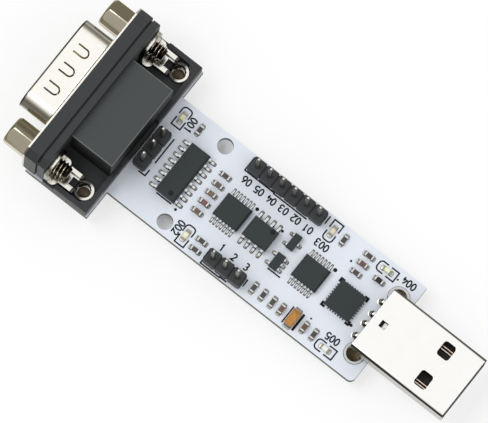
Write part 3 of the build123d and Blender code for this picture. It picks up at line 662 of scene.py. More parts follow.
class Form:
    """Closed solids, in millimetres of the module's frame, gathered for one piece."""

    def __init__(self):
        self.corners = []
        self.faces = []

    def skin(self, rings, closed=False):
        """Join rings of equal length. An open skin is capped at both ends."""
        first = len(self.corners)
        count = len(rings[0])
        for ring in rings:
            self.corners.extend(ring)
        steps = len(rings) if closed else len(rings) - 1
        for step in range(steps):
            near = first + step * count
            far = first + (step + 1) % len(rings) * count
            for side in range(count):
                turn = (side + 1) % count
                self.faces.append((near + side, near + turn, far + turn, far + side))
        if not closed:
            self.faces.append(tuple(range(first, first + count)))
            last = first + (len(rings) - 1) * count
            self.faces.append(tuple(range(last, last + count)))

    def stroke(self, points, width, bottom, top, closed=False):
        """A line of that width with mitred corners."""
        sharpest = 0.35
        points = [Vector(point) for point in points]
        if closed:
            path = [points[-2], *points[:-1], points[0]]
        else:
            path = [2 * points[0] - points[1], *points, 2 * points[-1] - points[-2]]
        rings = []
        for before, point, after in zip(path, path[1:], path[2:]):
            ahead = (after - point).normalized()
            along = (ahead + (point - before).normalized()).normalized()
            side = Vector((-along.y, along.x)) * (width / 2 / max(along.dot(ahead), sharpest))
            left, right = point + side, point - side
            rings.append([(*left, bottom), (*right, bottom), (*right, top), (*left, top)])
        self.skin(rings, closed)

    def turned(self, spot, profile, sides=20):
        """A solid turned about an upright axis, from its outline as radii and heights."""
        self.skin([[on_circle(spot, radius, height, side / sides) for side in range(sides)]
                   for radius, height in profile])

    def ring(self, spot, profile, sides=32):
        """A ring turned about an upright axis, from its closed outline as radii and heights."""
        self.skin([[on_circle(spot, radius, height, side / sides) for radius, height in profile]
                   for side in range(sides)], closed=True)

    def mound(self, land, foot, rim, peak, levels=4):
        """Solder that rises in a hollow curve from the edge of its land to the foot it holds."""
        def ring(spans, height):
            x0, x1, y0, y1 = spans
            cut = min(0.16, (x1 - x0) * 0.22, (y1 - y0) * 0.22)
            outline = [(x0 + cut, y0), (x1 - cut, y0), (x1, y0 + cut), (x1, y1 - cut),
                       (x1 - cut, y1), (x0 + cut, y1), (x0, y1 - cut), (x0, y0 + cut)]
            return [(x, y, BOARD_TOP + height) for x, y in outline]
        border = min(0.08, (land[1] - land[0]) * 0.2, (land[3] - land[2]) * 0.2)
        edge = (land[0] + border, land[1] - border, land[2] + border, land[3] - border)
        rings = [ring(land, 0)]
        for step in range(levels + 1):
            share = step / levels
            spans = [outer + (inner - outer) * share for outer, inner in zip(edge, foot)]
            rings.append(ring(spans, rim + (peak - rim) * share ** 2))
        self.skin(rings)

    def numbers(self, words, x, y, turn, height, stroke, bottom, top):
        """Plain numbers drawn in one width of line, centred on a point. A numeral's second line
        stands a little higher than its first, so that the two don't share a face."""
        spin = Matrix.Rotation(radians(turn), 2)
        step = NUMERAL_STEP * height
        for place, digit in enumerate(words):
            shift = (place - (len(words) - 1) / 2) * step
            for raised, line in enumerate(NUMERALS[digit]):
                points = [spin @ Vector((shift + across * height, up * height)) + Vector((x, y))
                          for across, up in line]
                self.stroke(points, stroke, bottom, top + raised * NUMERAL_RISE, line[0] == line[-1])

    def piece(self, name, finish, slot, smooth_below=35.0):
        """The finished piece, riding on the module."""
        mesh = bpy.data.meshes.new(name)
        mesh.from_pydata([[value * MM for value in corner] for corner in self.corners], [], self.faces)
        shape = bmesh.new()
        shape.from_mesh(mesh)
        bmesh.ops.recalc_face_normals(shape, faces=shape.faces)
        shape.to_mesh(mesh)
        shape.free()
        mesh.materials.append(finish)
        mesh.shade_smooth()
        mesh.set_sharp_from_angle(angle=radians(smooth_below))
        piece = bpy.data.objects.new(name, mesh)
        bpy.context.scene.collection.objects.link(piece)
        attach(piece, BODY)
        return piece


def solids(node):
    """The corners of each separate solid of a CAD node, in millimetres."""
    shape = bmesh.new()
    shape.from_mesh(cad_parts[node].data)
    bmesh.ops.remove_doubles(shape, verts=shape.verts, dist=SAME_POINT)
    found = []
    seen = set()
    for start in shape.verts:
        if start in seen:
            continue
        seen.add(start)
        group = [start]
        for corner in group:
            for edge in corner.link_edges:
                other = edge.other_vert(corner)
                if other not in seen:
                    seen.add(other)
                    group.append(other)
        found.append([corner.co / MM for corner in group])
    shape.free()
    return found


def rectangle(points):
    """Lowest and highest x, then lowest and highest y, of some points."""
    xs = [point.x for point in points]
    ys = [point.y for point in points]
    return min(xs), max(xs), min(ys), max(ys)


def middle(spans):
    """The middle of a rectangle."""
    x0, x1, y0, y1 = spans
    return Vector(((x0 + x1) / 2, (y0 + y1) / 2))


def feet(node, slice_height=0.02):
    """The rectangle on which each solid of a CAD node stands."""
    found = []
    for corners in solids(node):
        low = min(corner.z for corner in corners)
        found.append(rectangle([corner for corner in corners if corner.z < low + slice_height]))
    return found


def finish_node(names, finish, edge=None):
    """Give CAD nodes a material and, where a width is given, softly broken edges."""
    same_plane = radians(0.6)
    sharp = radians(32)
    for name in names:
        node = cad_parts[name]
        if node.material_slots:
            for place in node.material_slots:
                place.material = finish
        else:
            node.data.materials.append(finish)
        if edge:
            weld = node.modifiers.new("Weld", "WELD")
            weld.merge_threshold = SAME_POINT
            flats = node.modifiers.new("Flats", "DECIMATE")
            flats.decimate_type = "DISSOLVE"
            flats.angle_limit = same_plane
            soften = node.modifiers.new("Broken edges", "BEVEL")
            soften.width = edge
            soften.segments = 2
            soften.limit_method = "ANGLE"
            soften.angle_limit = sharp
            soften.use_clamp_overlap = False
            soften.harden_normals = True


def arc(x, y, width, height, first, last, steps=8):
    """Points on an ellipse, from one angle to another in degrees."""
    angles = [radians(first + (last - first) * step / steps) for step in range(steps + 1)]
    return [(x + width * cos(angle), y + height * sin(angle)) for angle in angles]


# Lines of each numeral, one unit high and centred on its middle
NUMERALS = {
    "0": [arc(0, 0, 0.26, 0.5, 90, 450, 16)],
    "1": [[(-0.14, 0.32), (0.06, 0.5), (0.06, -0.5)]],
    "2": [arc(0, 0.24, 0.25, 0.26, 165, -35) + [(-0.26, -0.48), (0.28, -0.48)]],
    "3": [arc(0, 0.25, 0.24, 0.25, 150, -80) + arc(0, -0.23, 0.27, 0.27, 70, -150)],
    "4": [[(0.06, 0.5), (-0.3, -0.18), (0.32, -0.18)], [(0.14, 0.1), (0.14, -0.5)]],
    "5": [[(0.24, 0.5), (-0.2, 0.5), (-0.23, 0.06)] + arc(-0.02, -0.18, 0.28, 0.3, 100, -145)],
    "6": [[(0.12, 0.5)] + arc(0, -0.2, 0.27, 0.3, 150, 520, 14)],
}

# Where the print lies: distances inboard of the plug end, and y, in millimetres. A lamp's outline
# also has its turn in degrees and the end that is rounded, and its number has its turn
LAMP_OUTLINES = [
    (48.6, 7.3, 90, 1), (36.15, -7.7, 90, 1), (17.8, 7.75, 90, -1),
    (6.85, 8.2, 0, -1), (6.85, -8.27, 0, -1),
]
LAMP_NUMBERS = [
    ("001", 46.8, 7.2, -90), ("002", 37.9, -7.4, -90), ("003", 17.8, 4.86, 180),
    ("004", 2.7, 8.7, 180), ("005", 6.9, -6.24, 180),
]
# Pins, then the y, turn and digits of their numbers, which count along x as they are read
PIN_NUMBERS = [("header_six_pins", 5.57, 180, 2), ("header_edge_pins", -5.6, 0, 1)]
PRINT_LINES = [
    [(35.3, 9.45), (35.3, 6.85), (29.2, 6.85), (29.2, 6.7), (22.4, 6.7)],
    [(19.6, 9.55), (19.6, 8.0)],
    [(31.5, -6.7), (31.5, -9.75), (27.6, -9.75), (27.6, -9.62), (26.2, -9.62)],
    [(23.7, -7.1), (23.7, -8.5)],
    [(47.45, 3.7), (47.45, -1.4)],
    [(47.45, -2.8), (47.45, -4.05), (48.8, -4.05)],
    [(44.3, -5.08), (41.2, -5.08)],
    [(22.4, -3.6), (19.8, -3.6)],
    [(15.1, -9.25), (15.1, -5.9)],
]
THICK_LINES = [
    [(12.95, -9.25), (12.95, -5.9)],
    [(11.88, 1.95), (11.88, 2.61), (11.2, 2.61)],
    [(7.06, 2.61), (6.38, 2.61), (6.38, 1.95)],
    [(11.88, -2.15), (11.88, -2.83), (11.2, -2.83)],
    [(7.06, -2.83), (6.38, -2.83), (6.38, -2.15)],
]
# Each dot's place and diameter
PRINT_DOTS = [
    (40.1, -5.35, 0.5), (29.7, 3.0, 0.65), (13.55, 3.0, 0.7), (24.25, 2.7, 0.5),
    (5.94, -2.57, 0.55), (12.45, 5.8, 0.4), (11.7, -5.75, 0.35), (4.6, 8.1, 0.35),
]
# Colours of the capacitors' ceramic, by place
CERAMIC_TINTS = [
    (37.1, 2.1, "6B6156"), (37.1, 0.25, "85705A"), (37.1, -1.6, "825E58"), (37.1, -3.46, "786452"),
    (16.43, -7.6, "75594C"), (11.65, -7.6, "6C5449"), (10.6, 6.5, "74504C"),
]

# How far a land reaches past a foot, and the height of the solder at the foot
Reach = namedtuple("Reach", "toe heel side peak")
WIDE = Reach(0.42, 0.2, 0.13, 0.16)
FINE = Reach(0.34, 0.15, 0.09, 0.12)
SMALL = Reach(0.28, 0.15, 0.13, 0.13)

# The chips with leads, and the reach of their lands
CHIPS = {"chip_sixteen": WIDE, "chip_eight": WIDE, "chip_fourteen_a": FINE, "chip_fourteen_b": FINE,
         "chip_three": SMALL, "chip_five": SMALL}
# The pin headers, and the axis along which their pins stand: 0 for x and 1 for y
HEADERS = {"header_six": 0, "header_edge": 0, "header_inner": 1}
BRACKETS = ["bracket_left", "bracket_right"]
CONTACTS = [f"contact_{number}" for number in range(1, 10)]
PLUG_CONTACTS = [f"plug_contact_{number}" for number in range(1, 5)]


class ModuleOperator(bpy.types.Operator):
    """What the module's operators share"""
    bl_options = {"REGISTER", "UNDO"}


class MODULE_OT_board(ModuleOperator):
    """Finish the circuit board"""
    bl_idname = "module.board"
    bl_label = "Board"

    def execute(self, context):
        finish_node(["circuit_board"], mask_finish())
        return {"FINISHED"}


class MODULE_OT_print(ModuleOperator):
    """Print outlines, pin-one dots and plain numbers on the board"""
    bl_idname = "module.print"
    bl_label = "Print"

    def execute(self, context):
        looks = context.scene.board_looks
        low = BOARD_TOP
        high = BOARD_TOP + looks.print_thickness / MM
        stroke = looks.print_stroke / MM
        height = looks.number_height / MM
        form = Form()
        for lines, width in ((PRINT_LINES, stroke), (THICK_LINES, looks.thick_stroke / MM)):
            for line in lines:
                form.stroke([(inboard(distance), y) for distance, y in line], width, low, high)
        for distance, y, diameter in PRINT_DOTS:
            form.turned((inboard(distance), y), [(diameter / 2, low), (diameter / 2, high)], 16)
        for distance, y, turn, round_end in LAMP_OUTLINES:
            for half in self.lamp_outline(inboard(distance), y, turn, round_end):
                form.stroke(half, stroke, low, high)
        for node, y, turn, digits in PIN_NUMBERS:
            pins = sorted((middle(foot).x for foot in feet(node)), reverse=turn > 0)
            for number, x in enumerate(pins, start=1):
                form.numbers(f"{number:0{digits}d}", x, y, turn, height, stroke, low, high)
        for words, distance, y, turn in LAMP_NUMBERS:
            form.numbers(words, inboard(distance), y, turn, height, stroke, low, high)
        form.piece("board_print", ink_finish(), "board")
        return {"FINISHED"}

    def lamp_outline(self, x, y, turn, round_end):
        """An outline in two halves, one end of it rounded."""
        half_length, half_width, gap, corner = 1.83, 0.9, 0.3, 0.6
        rounded = [(half_length - corner + corner * sin(radians(angle)),
                    half_width - corner + corner * cos(radians(angle))) for angle in range(0, 91, 15)]
        rounded += [(along, -across) for along, across in reversed(rounded)]
        halves = [
            [(gap, half_width), *rounded, (gap, -half_width)],
            [(-gap, half_width), (-half_length, half_width), (-half_length, -half_width),
             (-gap, -half_width)],
        ]
        spin = Matrix.Rotation(radians(turn), 2)
        return [[spin @ Vector((along * round_end, across)) + Vector((x, y)) for along, across in half]
                for half in halves]


class MODULE_OT_solder(ModuleOperator):
    """Solder every lead, end cap and tail to the board"""
    bl_idname = "module.solder"
    bl_label = "Solder"

    # Each piece's nodes, the bodies they belong to, and how far their lands reach
    LANDS = {
        "lead_lands": [(f"{chip}_leads", [f"{chip}_body"], reach) for chip, reach in CHIPS.items()],
        "cap_lands": [
            ("chip_terminals", ["chip_resistors", "chip_capacitors", "ferrite_bead"],
             Reach(0.42, 0.1, 0.075, 0.34)),
            ("led_terminals", ["led_bases"], Reach(0.42, 0.1, 0.075, 0.2)),
            ("tantalum_terminals", ["tantalum_body"], Reach(0.42, 0.0, 0.1, 0.4)),
        ],
        "square_chip_lands": [
            ("square_chip_terminals", ["square_chip_body"], Reach(0.28, 0.0, 0.01, 0.12)),
        ],
    }
    RIM = 0.1

    def execute(self, context):
        looks = context.scene.metal_looks
        # Painted shade: the lead solder is darker, as shade round the chips' leads, and each finish's last
        # colour goes on its slopes.
        finishes = {
            "lead_lands": tinned_finish("Lead solder", tint("8B8984"), tint("5D5B57"), tint("262421"),
                                        0.2, 0.02),
            "cap_lands": tinned_finish("Cap solder", tint("D8D7D4"), tint("A09F9C"), tint("55524C"),
                                       0.34, 0.03, (0.84, 0.5)),
            "square_chip_lands": tinned_finish("Dull solder", looks.dull_solder, tint("4B4C4F"),
                                               tint("2C2C2D"), 0.3, 0.02),
        }
        for piece, finish in finishes.items():
            form = Form()
            for leads, bodies, reach in self.LANDS[piece]:
                owners = [rectangle(corners) for body in bodies for corners in solids(body)]
                for foot in feet(leads):
                    owner = min(owners, key=lambda spans: (middle(spans) - middle(foot)).length)
                    form.mound(self.land(foot, owner, reach), foot, self.RIM, reach.peak)
            form.piece(piece, finish, "lead_tin")
        # Painted shade on the steep slopes of the solder and of the fluxed solder.
        self.joints(tinned_finish("Solder", looks.solder, tint("9A9A98"), looks.solder_side_painted_shade, 0.14, 0.02))
        self.fluxed_and_shaded_joints(tinned_finish("Fluxed solder", looks.flux, tint("3A3227"), tint("2A241B"),
                                         0.26, 0.06))
        return {"FINISHED"}

    def land(self, foot, owner, reach):
        """The land under a foot, longest on the side away from its body."""
        centre = middle(owner)
        half_sizes = [owner[1] - centre.x, owner[3] - centre.y]
        away = middle(foot) - centre
        axis = 0 if abs(away.x) - half_sizes[0] > abs(away.y) - half_sizes[1] else 1
        grown = []
        for direction in (0, 1):
            low, high = foot[2 * direction:2 * direction + 2]
            if direction != axis:
                grown += [low - reach.side, high + reach.side]
            elif away[axis] > 0:
                grown += [low - reach.heel, high + reach.toe]
            else:
                grown += [low - reach.toe, high + reach.heel]
        return grown

    def joints(self, finish):
        """Solder cones round the tails under the board, rings on top and the plug's two legs."""
        form = Form()
        tails = [f"{header}_pins" for header in HEADERS] + CONTACTS
        for nodes, reach in ((tails, 0.85), (PLUG_CONTACTS, 0.78)):
            for node in nodes:
                for foot in feet(node):
                    form.turned(middle(foot), self.cone(BOARD_BOTTOM, -1, reach, 0.3, 0.8))
        for node in PLUG_CONTACTS:
            for foot in feet(node):
                form.turned(middle(foot), self.cone(BOARD_TOP, 1, 0.75, 0.3, 0.24))
        collar = [(1.5, 0), (1.88, 0), (1.8, 0.07), (1.5, 0.07)]
        ring = [(1.42, 0.1), (2.3, 0.1), (2.3, -0.04), (1.8, -0.12), (1.42, -0.55)]
        for spot in self.legs():
            form.ring(spot, [(radius, BOARD_TOP + rise) for radius, rise in collar], 48)
            form.turned(spot, self.cone(BOARD_BOTTOM, -1, 1.78, 0.7, 0.75), 28)
        for spot in self.locks():
            form.ring(spot, [(radius, BOARD_BOTTOM + rise) for radius, rise in ring])
        form.piece("solder_joints", finish, "lead_tin")

    def fluxed_and_shaded_joints(self, finish):
        """Browned solder that fills the holes of the plug's legs and the brackets' locks, its dark colour
        partly painted shade down the holes.
        """
        form = Form()
        pool = [(0.1, -0.7), (1.36, -0.7), (1.36, -0.12), (1.62, 0.03), (1.2, -0.1), (0.7, -0.26),
                (0.1, -0.32)]
        filling = [(0.1, 0.2), (1.15, 0.2), (1.15, 0.85), (0.7, 0.65), (0.1, 0.6)]
        for spots, profile, level in (
                (self.legs(), pool, BOARD_TOP), (self.locks(), filling, BOARD_BOTTOM)):
            for spot in spots:
                form.turned(spot, [(radius, level + rise) for radius, rise in profile], 28)
        form.piece("fluxed_and_shaded_joints", finish, "lead_tin")

    def below(self, node):
        """The corners of a CAD node that lie under the board."""
        return [corner for corners in solids(node) for corner in corners if corner.z < BOARD_BOTTOM]

    def legs(self):
        """The middle of each leg of the plug, under the board."""
        tips = self.below("plug_shell")
        return [middle(rectangle([tip for tip in tips if tip.y * side > 0])) for side in (-1, 1)]

    def locks(self):
        """The middle of each bracket's lock, under the board."""
        return [middle(rectangle(self.below(node))) for node in BRACKETS]

    def cone(self, level, way, reach, neck, height):
        """Outline of a joint that rises in a hollow curve from its land to the tail."""
        steps = 6
        foot = 0.05
        outline = [(reach, level), (reach, level + way * foot)]
        for step in range(1, steps + 1):
            share = step / steps
            rise = foot + (height - foot) * share ** 2.2
            outline.append((reach + (neck - reach) * share, level + way * rise))
        return outline


class MODULE_OT_connector(ModuleOperator):
    """Finish the nine-way connector: shell, mouldings, contacts and brackets"""
    bl_idname = "module.connector"
    bl_label = "Nine-way connector"

    def execute(self, context):
        metal = context.scene.metal_looks
        plastic = context.scene.plastic_looks
        # Painted shade on the shell's slopes, sides, lip and slits.
        nickel = plated_finish("Drawn nickel", metal.shell, tint("DAD5C8"), metal.shell_slope_painted_shade,
                               metal.shell_side_painted_shade, metal.roughness, 4.0, shell_painted_shade)
        finish_node(["connector_shell"], nickel, metal.edge)
        for node, tone_at in (("connector_insulator", None), ("connector_housing", hood_painted_light)):
            moulding = moulded_finish(f"Black {node}", plastic.housing, tint("353839"), 0.16,
                                      plastic.roughness, tone_at=tone_at)
            finish_node([node], moulding, plastic.edge)
        # Painted shade: the gold's last two colours go on its slopes and upright sides.
        gold = plated_finish("Flashed gold", metal.gold, tint("B98F4E"), tint("B08A4C"), tint("9C7840"),
                             0.18, 3.0, contact_tone)
        finish_node(CONTACTS, gold, context.scene.part_looks.fine_edge)
        finish_node(BRACKETS, bracket_finish(), metal.edge)
        return {"FINISHED"}


class MODULE_OT_jackscrews(ModuleOperator):
    """Turn both jackscrews: chamfered hexagon, tapped bore and threaded stud"""
    bl_idname = "module.jackscrews"
    bl_label = "Jackscrews"

    # Half the angle of the narrow flat on each corner of the hexagon, in degrees, and the steps
    # between two of them
    RIDGE = 1.8
    STEPS = 8
    # Rings in one pitch of a thread, how steep its flanks are and how far its groove is flat
    SAMPLES = 10
    FLANK = 2.6
    GROOVE = 0.15
    # The hexagon's chamfer: length, depth in the middle of a flat, and rings
    CHAMFER = 0.55
    CHAMFER_DEPTH = 0.1
    CHAMFER_RINGS = 6
    # Radius of the small cap at both ends of the skin
    CAP = 0.02

    def execute(self, context):
        looks = context.scene.metal_looks
        # Painted shade on the jackscrews' slopes and sides, and painted light on their studs.
        finish = plated_finish("Turned nickel", looks.jackscrew, tint("A99A78"), looks.jackscrew_slope_painted_shade,
                               looks.jackscrew_side_painted_shade, 0.1, tone_at=thread_painted_light)
        for name in ("jackscrew_left", "jackscrew_right"):
            form = Form()
            form.skin(self.rings(name, looks.thread_pitch / MM, looks.thread_depth / MM))
            piece = form.piece(f"{name}_threaded", finish, "jackscrew_metal", 28.0)
            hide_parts(name)
        return {"FINISHED"}

    def rings(self, node, pitch, depth):
        """Rings from the bottom of the bore, round the hexagon, to the stud's tip."""
        low, high = box(node)
        y = (low.y + high.y) / 2
        z = (low.z + high.z) / 2
        corners = [vertex.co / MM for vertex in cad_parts[node].data.vertices]
        reach = [(corner.x, hypot(corner.y - y, corner.z - z)) for corner in corners]
        flat = (high.y - low.y) / 2
        shoulder = max(x for x, radius in reach if radius > 0.9 * flat)
        stud = max(radius for x, radius in reach if x > shoulder + 0.5)
        bore = min(radius for x, radius in reach if x < low.x + 0.01 and radius > 0.5)
        bottom = max(x for x, radius in reach if x < shoulder and abs(radius - bore) < 0.02)
        widest = flat / cos(radians(30 - self.RIDGE))
        slope = (flat / cos(radians(30)) - flat + self.CHAMFER_DEPTH) / self.CHAMFER
        span = 60 - 2 * self.RIDGE
        angles = [radians(corner + self.RIDGE + span * part / self.STEPS)
                  for corner in range(30, 390, 60) for part in range(self.STEPS + 1)]

        def around(x, radius):
            """A ring at x, from one radius or from a function of x and angle."""
            radii = [radius(x, angle) if callable(radius) else radius for angle in angles]
            return [(x, y + r * cos(angle), z + r * sin(angle)) for r, angle in zip(radii, angles)]

        def hexagon(x, angle):
            """Radius of the hexagon, inside its ridges and the cone of its chamfer."""
            folded = ((angle + radians(30)) % radians(60)) - radians(30)
            cone = flat - self.CHAMFER_DEPTH + (x - low.x) * slope
            return min(flat / cos(folded), widest, cone)

        def thread(outer, inner):
            """Radius of a helical thread between two radii, as a function of x and angle."""
            def radius_at(x, angle):
                phase = (x / pitch - angle / (2 * pi)) % 1.0
                rise = min(max(abs(phase - 0.5) * self.FLANK - self.GROOVE, 0.0), 1.0)
                return inner + (outer - inner) * rise
            return radius_at

        step = pitch / self.SAMPLES
        rings = [around(bottom, self.CAP), around(bottom, bore)]
        x = bottom - 0.3
        while x > low.x + 0.35:
            rings.append(around(x, thread(bore + depth * 0.7, bore)))
            x -= step
        rings += [around(low.x + 0.3, bore + 0.02), around(low.x, bore + depth * 0.8)]
        rings += [around(low.x + self.CHAMFER * part / self.CHAMFER_RINGS, hexagon)
                  for part in range(self.CHAMFER_RINGS + 1)]
        core = stud - depth
        rings += [around(shoulder, hexagon), around(shoulder, stud * 0.98), around(shoulder + 0.02, core)]
        x = shoulder + 0.1
        while x < high.x - 0.45:
            rings.append(around(x, thread(stud, core)))
            x += step
        rings += [around(high.x - 0.4, core), around(high.x - 0.3, core), around(high.x, core - 0.2),
                  around(high.x, self.CAP)]
        return rings


class MODULE_OT_plug(ModuleOperator):
    """Finish the plug: shell, tongue and contacts"""
    bl_idname = "module.plug"
    bl_label = "Plug"

    def execute(self, context):
        metal = context.scene.metal_looks
        plastic = context.scene.plastic_looks
        parts = context.scene.part_looks
        # Painted shade on the plug's slopes, sides and roundings, and a painted highlight on its latch tab.
        nickel = plated_finish("Plug nickel", metal.plug, tint("E4E2DC"), metal.plug_slope_painted_shade,
                               metal.plug_side_painted_shade, metal.roughness, 3.0, plug_painted_light, latch_tab_highlight)
        finish_node(["plug_shell"], nickel, metal.edge)
        tongue = moulded_finish("Tongue moulding", plastic.tongue, tint("2A2523"), 0.12, plastic.roughness)
        finish_node(["plug_tongue"], tongue, parts.edge)
        for number, node in enumerate(PLUG_CONTACTS, start=1):
            low, high = box(node)
            finish_node([node], plug_contact_finish(number, (low.y + high.y) / 2), parts.fine_edge)
        return {"FINISHED"}


class MODULE_OT_headers(ModuleOperator):
    """Finish the three pin headers"""
    bl_idname = "module.headers"
    bl_label = "Pin headers"

    def execute(self, context):
        plastic = context.scene.plastic_looks
        for name, axis in HEADERS.items():
            moulding = moulded_finish(f"Moulding {name}", plastic.header, tint("2F3033"), 0.14,
                                      plastic.roughness, tone_at=cell_painted_shade(f"{name}_pins", axis))
            finish_node([f"{name}_base"], moulding, plastic.fine_edge)
        # Painted shade: the pins' last colour goes on their steep faces.
        tin = tinned_finish("Pin tin", context.scene.metal_looks.lead, tint("C4C0B6"), tint("8C897F"),
                            0.2, 0.0004)
        finish_node([f"{name}_pins" for name in HEADERS], tin, context.scene.part_looks.fine_edge)
        return {"FINISHED"}


class MODULE_OT_chips(ModuleOperator):
    """Finish the integrated circuits and their leads"""
    bl_idname = "module.chips"
    bl_label = "Chips"

    def execute(self, context):
        metal = context.scene.metal_looks
        plastic = context.scene.plastic_looks
        for body in [f"{chip}_body" for chip in CHIPS] + ["square_chip_body"]:
            compound = moulded_finish(f"Mould compound {body}", plastic.compound, tint("2C3133"),
                                      0.1, 0.5, 0.015, dimple_tone(box(body)[1].z))
            finish_node([body], compound, plastic.fine_edge)
        # Painted shade on the leads' steep faces.
        tin = tinned_finish("Lead tin", metal.lead, tint("B7B8B8"), metal.lead_side_painted_shade, 0.1, 0.008,
                            (0.99, 0.86))
        finish_node([f"{chip}_leads" for chip in CHIPS] + ["square_chip_terminals"], tin)
        return {"FINISHED"}


class MODULE_OT_passives(ModuleOperator):
    """Finish the chip resistors, capacitors, bead and tantalum capacitor"""
    bl_idname = "module.passives"
    bl_label = "Small parts"

    def execute(self, context):
        metal = context.scene.metal_looks
        looks = context.scene.part_looks
        stripe = box("tantalum_body")[1].y - 0.45
        ferrite = moulded_finish("Ferrite", looks.ferrite, tint("2E2624"), 0.12, 0.45)
        # Painted shade on the end caps' steep faces.
        caps = tinned_finish("End cap tin", metal.lead, tint("A3A4A4"), metal.lead_side_painted_shade, 0.16, 0.015)
        finish_node(["chip_resistors"], resistor_finish(), looks.fine_edge)
        finish_node(["chip_capacitors"], capacitor_finish(), looks.edge)
        finish_node(["ferrite_bead"], ferrite, looks.edge)
        finish_node(["chip_terminals", "tantalum_terminals"], caps, looks.edge)
        finish_node(["tantalum_body"], tantalum_finish(stripe), looks.edge)
        return {"FINISHED"}


class MODULE_OT_lamps(ModuleOperator):
    """Finish the five light emitting diodes"""
    bl_idname = "module.lamps"
    bl_label = "Lamps"

    RESINS = [("D9D28C", "F3EFC0"), ("DDD6A0", "F4F0CE"), ("C9B48F", "E9DCC0"), ("C9D39C", "EDF2CC"),
              ("D8DAD2", "F4F4EE")]

    def execute(self, context):
        metal = context.scene.metal_looks
        looks = context.scene.part_looks
        laminate = moulded_finish("Lamp laminate", looks.lamp_base, tint("C9C6B8"), 0.2, 0.4)
        # Painted shade on the lamp ends' steep faces.
        tin = tinned_finish("Lamp end tin", tint("A5A292"), tint("77745F"), metal.lead_side_painted_shade,
                            0.18, 0.01)
        finish_node(["led_bases"], laminate, looks.fine_edge)
        finish_node(["led_terminals"], tin, looks.fine_edge)
        for number, (shade, pale) in enumerate(self.RESINS, start=1):
            lens = f"led_{number}_lens"
            low, high = box(lens)
            resin = resin_finish(f"Lens resin {number}", tint(shade), tint(pale), tuple((low + high) / 2))
            finish_node([lens], resin, looks.edge)
        return {"FINISHED"}


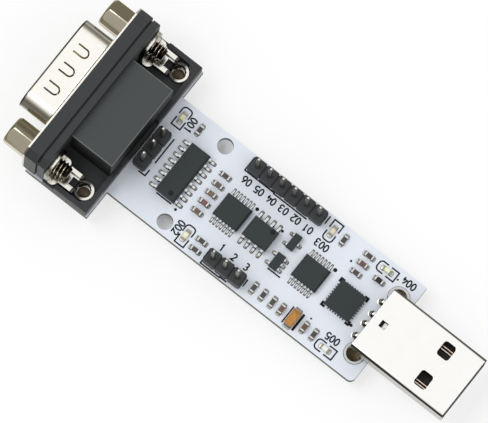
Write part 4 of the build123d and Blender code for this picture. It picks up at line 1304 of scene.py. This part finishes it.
class MODULE_OT_stage(ModuleOperator):
    """Set the floor, the soft light and the camera"""
    bl_idname = "module.stage"
    bl_label = "Stage"

    WHITE = (1.0, 1.0, 1.0)
    # In metres
    FLOOR_RADIUS = 4.0
    FLOOR_SIDES = 64
    KEY_PLACE = Vector((-0.62, -0.12, 0.95))
    # In millimetres
    SENSOR = 36.0

    def execute(self, context):
        self.floor(context.scene.stage_looks)
        self.sky(context.scene.stage_looks)
        self.lamp(context.scene.stage_looks)
        self.camera(context.scene.camera_looks)
        context.scene.view_settings.view_transform = "Standard"
        return {"FINISHED"}

    def link(self, name, data):
        """A new object in the scene."""
        made = bpy.data.objects.new(name, data)
        bpy.context.scene.collection.objects.link(made)
        return made

    def floor(self, looks):
        """A round floor that shows the camera less of its shading than it has, except in two round
        patches below the screw holes."""
        nodes = material("Studio floor")
        path = nodes.add("ShaderNodeLightPath", output="Is Camera Ray")
        seen = path + path.output("Is Glossy Ray") + path.output("Is Transmission Ray")
        shaded = nodes.add("ShaderNodeBsdfDiffuse", inputs={
            "Color": nodes.mix(nodes.noise(60.0) * 0.5, looks.floor, tint("F7F7F8"))})
        plain = nodes.add("ShaderNodeEmission", inputs={"Color": (*self.WHITE, 1.0), "Strength": 1.0})
        off_patch = off_axis(nodes.at.x - SCREW_X + 0.2, abs(nodes.at.y - 0.5) - SCREW_Y)
        white = (1 - looks.shadow) * (1 - nodes.ramp(off_patch, 2.0, 1.6) * 0.95)
        blend = nodes.add("ShaderNodeMixShader", inputs={
            0: seen.apply("MINIMUM", 1.0) * white, 1: shaded, 2: plain})
        nodes.add("ShaderNodeOutputMaterial", inputs={"Surface": blend})
        sides = range(self.FLOOR_SIDES)
        rim = [on_circle((0.0, 0.0), self.FLOOR_RADIUS, 0.0, side / len(sides)) for side in sides]
        mesh = bpy.data.meshes.new("floor")
        mesh.from_pydata(rim, [], [tuple(sides)])
        mesh.materials.append(nodes.owner)
        floor = self.link("floor", mesh)

    def sky(self, looks):
        """White light from all round, which reflections see as dim near the horizon."""
        world = bpy.data.worlds.new("Studio")
        bpy.context.scene.world = world
        nodes = Nodes(world)
        path = nodes.add("ShaderNodeLightPath", output="Is Glossy Ray")
        height = nodes.axes(nodes.add("ShaderNodeTexCoord", output="Generated")).z
        flag = tuple(looks.flag)
        stops = [(0.0, (0.55, 0.54, 0.5)), (0.06, flag), (0.5, flag), (0.8, (0.98, 0.975, 0.96)),
                 (1.0, self.WHITE)]
        flags = nodes.add("ShaderNodeValToRGB", {"stops": stops}, {0: height})
        lit = nodes.spread(path.output("Is Diffuse Ray"), 1.0, looks.sky)
        sky = nodes.add("ShaderNodeBackground", inputs={"Color": nodes.mix(path, self.WHITE, flags),
                                                        "Strength": lit})
        nodes.add("ShaderNodeOutputWorld", inputs={"Surface": sky})

    def lamp(self, looks):
        """One large soft lamp that faces the module."""
        lamp = bpy.data.lights.new("Key", "AREA")
        lamp.shape = "SQUARE"
        lamp.size = looks.key_size
        lamp.energy = looks.key
        key = self.link("Key", lamp)
        key.location = self.KEY_PLACE
        key.rotation_euler = (-self.KEY_PLACE).to_track_quat("-Z", "Y").to_euler()

    def camera(self, looks):
        """The camera, turned about the module and rolled about its line of sight."""
        data = bpy.data.cameras.new("Camera")
        data.sensor_fit = "HORIZONTAL"
        data.sensor_width = self.SENSOR
        data.lens = looks.focal
        camera = self.link("Camera", data)
        outward = cos(looks.elevation)
        back = Vector((sin(looks.azimuth) * outward, -cos(looks.azimuth) * outward, sin(looks.elevation)))
        camera.location = Vector(looks.aim) + back * looks.distance
        camera.rotation_mode = "QUATERNION"
        roll = Quaternion((0.0, 0.0, 1.0), looks.roll)
        camera.rotation_quaternion = (-back).to_track_quat("-Z", "Y") @ roll
        bpy.context.scene.camera = camera


OPERATORS = (MODULE_OT_board, MODULE_OT_print, MODULE_OT_solder, MODULE_OT_connector,
             MODULE_OT_jackscrews, MODULE_OT_plug, MODULE_OT_headers, MODULE_OT_chips,
             MODULE_OT_passives, MODULE_OT_lamps, MODULE_OT_stage)
LOOKS = {"board_looks": BoardLooks, "metal_looks": MetalLooks, "plastic_looks": PlasticLooks,
         "part_looks": PartLooks, "stage_looks": StageLooks, "camera_looks": CameraLooks}


class MODULE_PT_sidebar(bpy.types.Panel):
    """Lists the module's pieces and the values that shape them"""
    bl_idname = "MODULE_PT_sidebar"
    bl_label = "Serial adapter module"
    bl_space_type = "VIEW_3D"
    bl_region_type = "UI"
    bl_category = "Module"

    def draw(self, context):
        for operator in OPERATORS:
            self.layout.operator(operator.bl_idname)
        for name, group in LOOKS.items():
            rows = self.layout.box()
            looks = getattr(context.scene, name)
            for value in group.__annotations__:
                rows.prop(looks, value)


CLASSES = (*LOOKS.values(), *OPERATORS, MODULE_PT_sidebar)


def register():
    for kind in CLASSES:
        bpy.utils.register_class(kind)
    for name, group in LOOKS.items():
        setattr(bpy.types.Scene, name, PointerProperty(type=group))


def unregister():
    for name in LOOKS:
        delattr(bpy.types.Scene, name)
    for kind in reversed(CLASSES):
        bpy.utils.unregister_class(kind)


def main():
    """Build every piece in order."""
    register()
    for operator in OPERATORS:
        family, name = operator.bl_idname.split(".")
        getattr(getattr(bpy.ops, family), name)()
    bpy.context.view_layer.update()


if __name__ == "__main__":
    main()
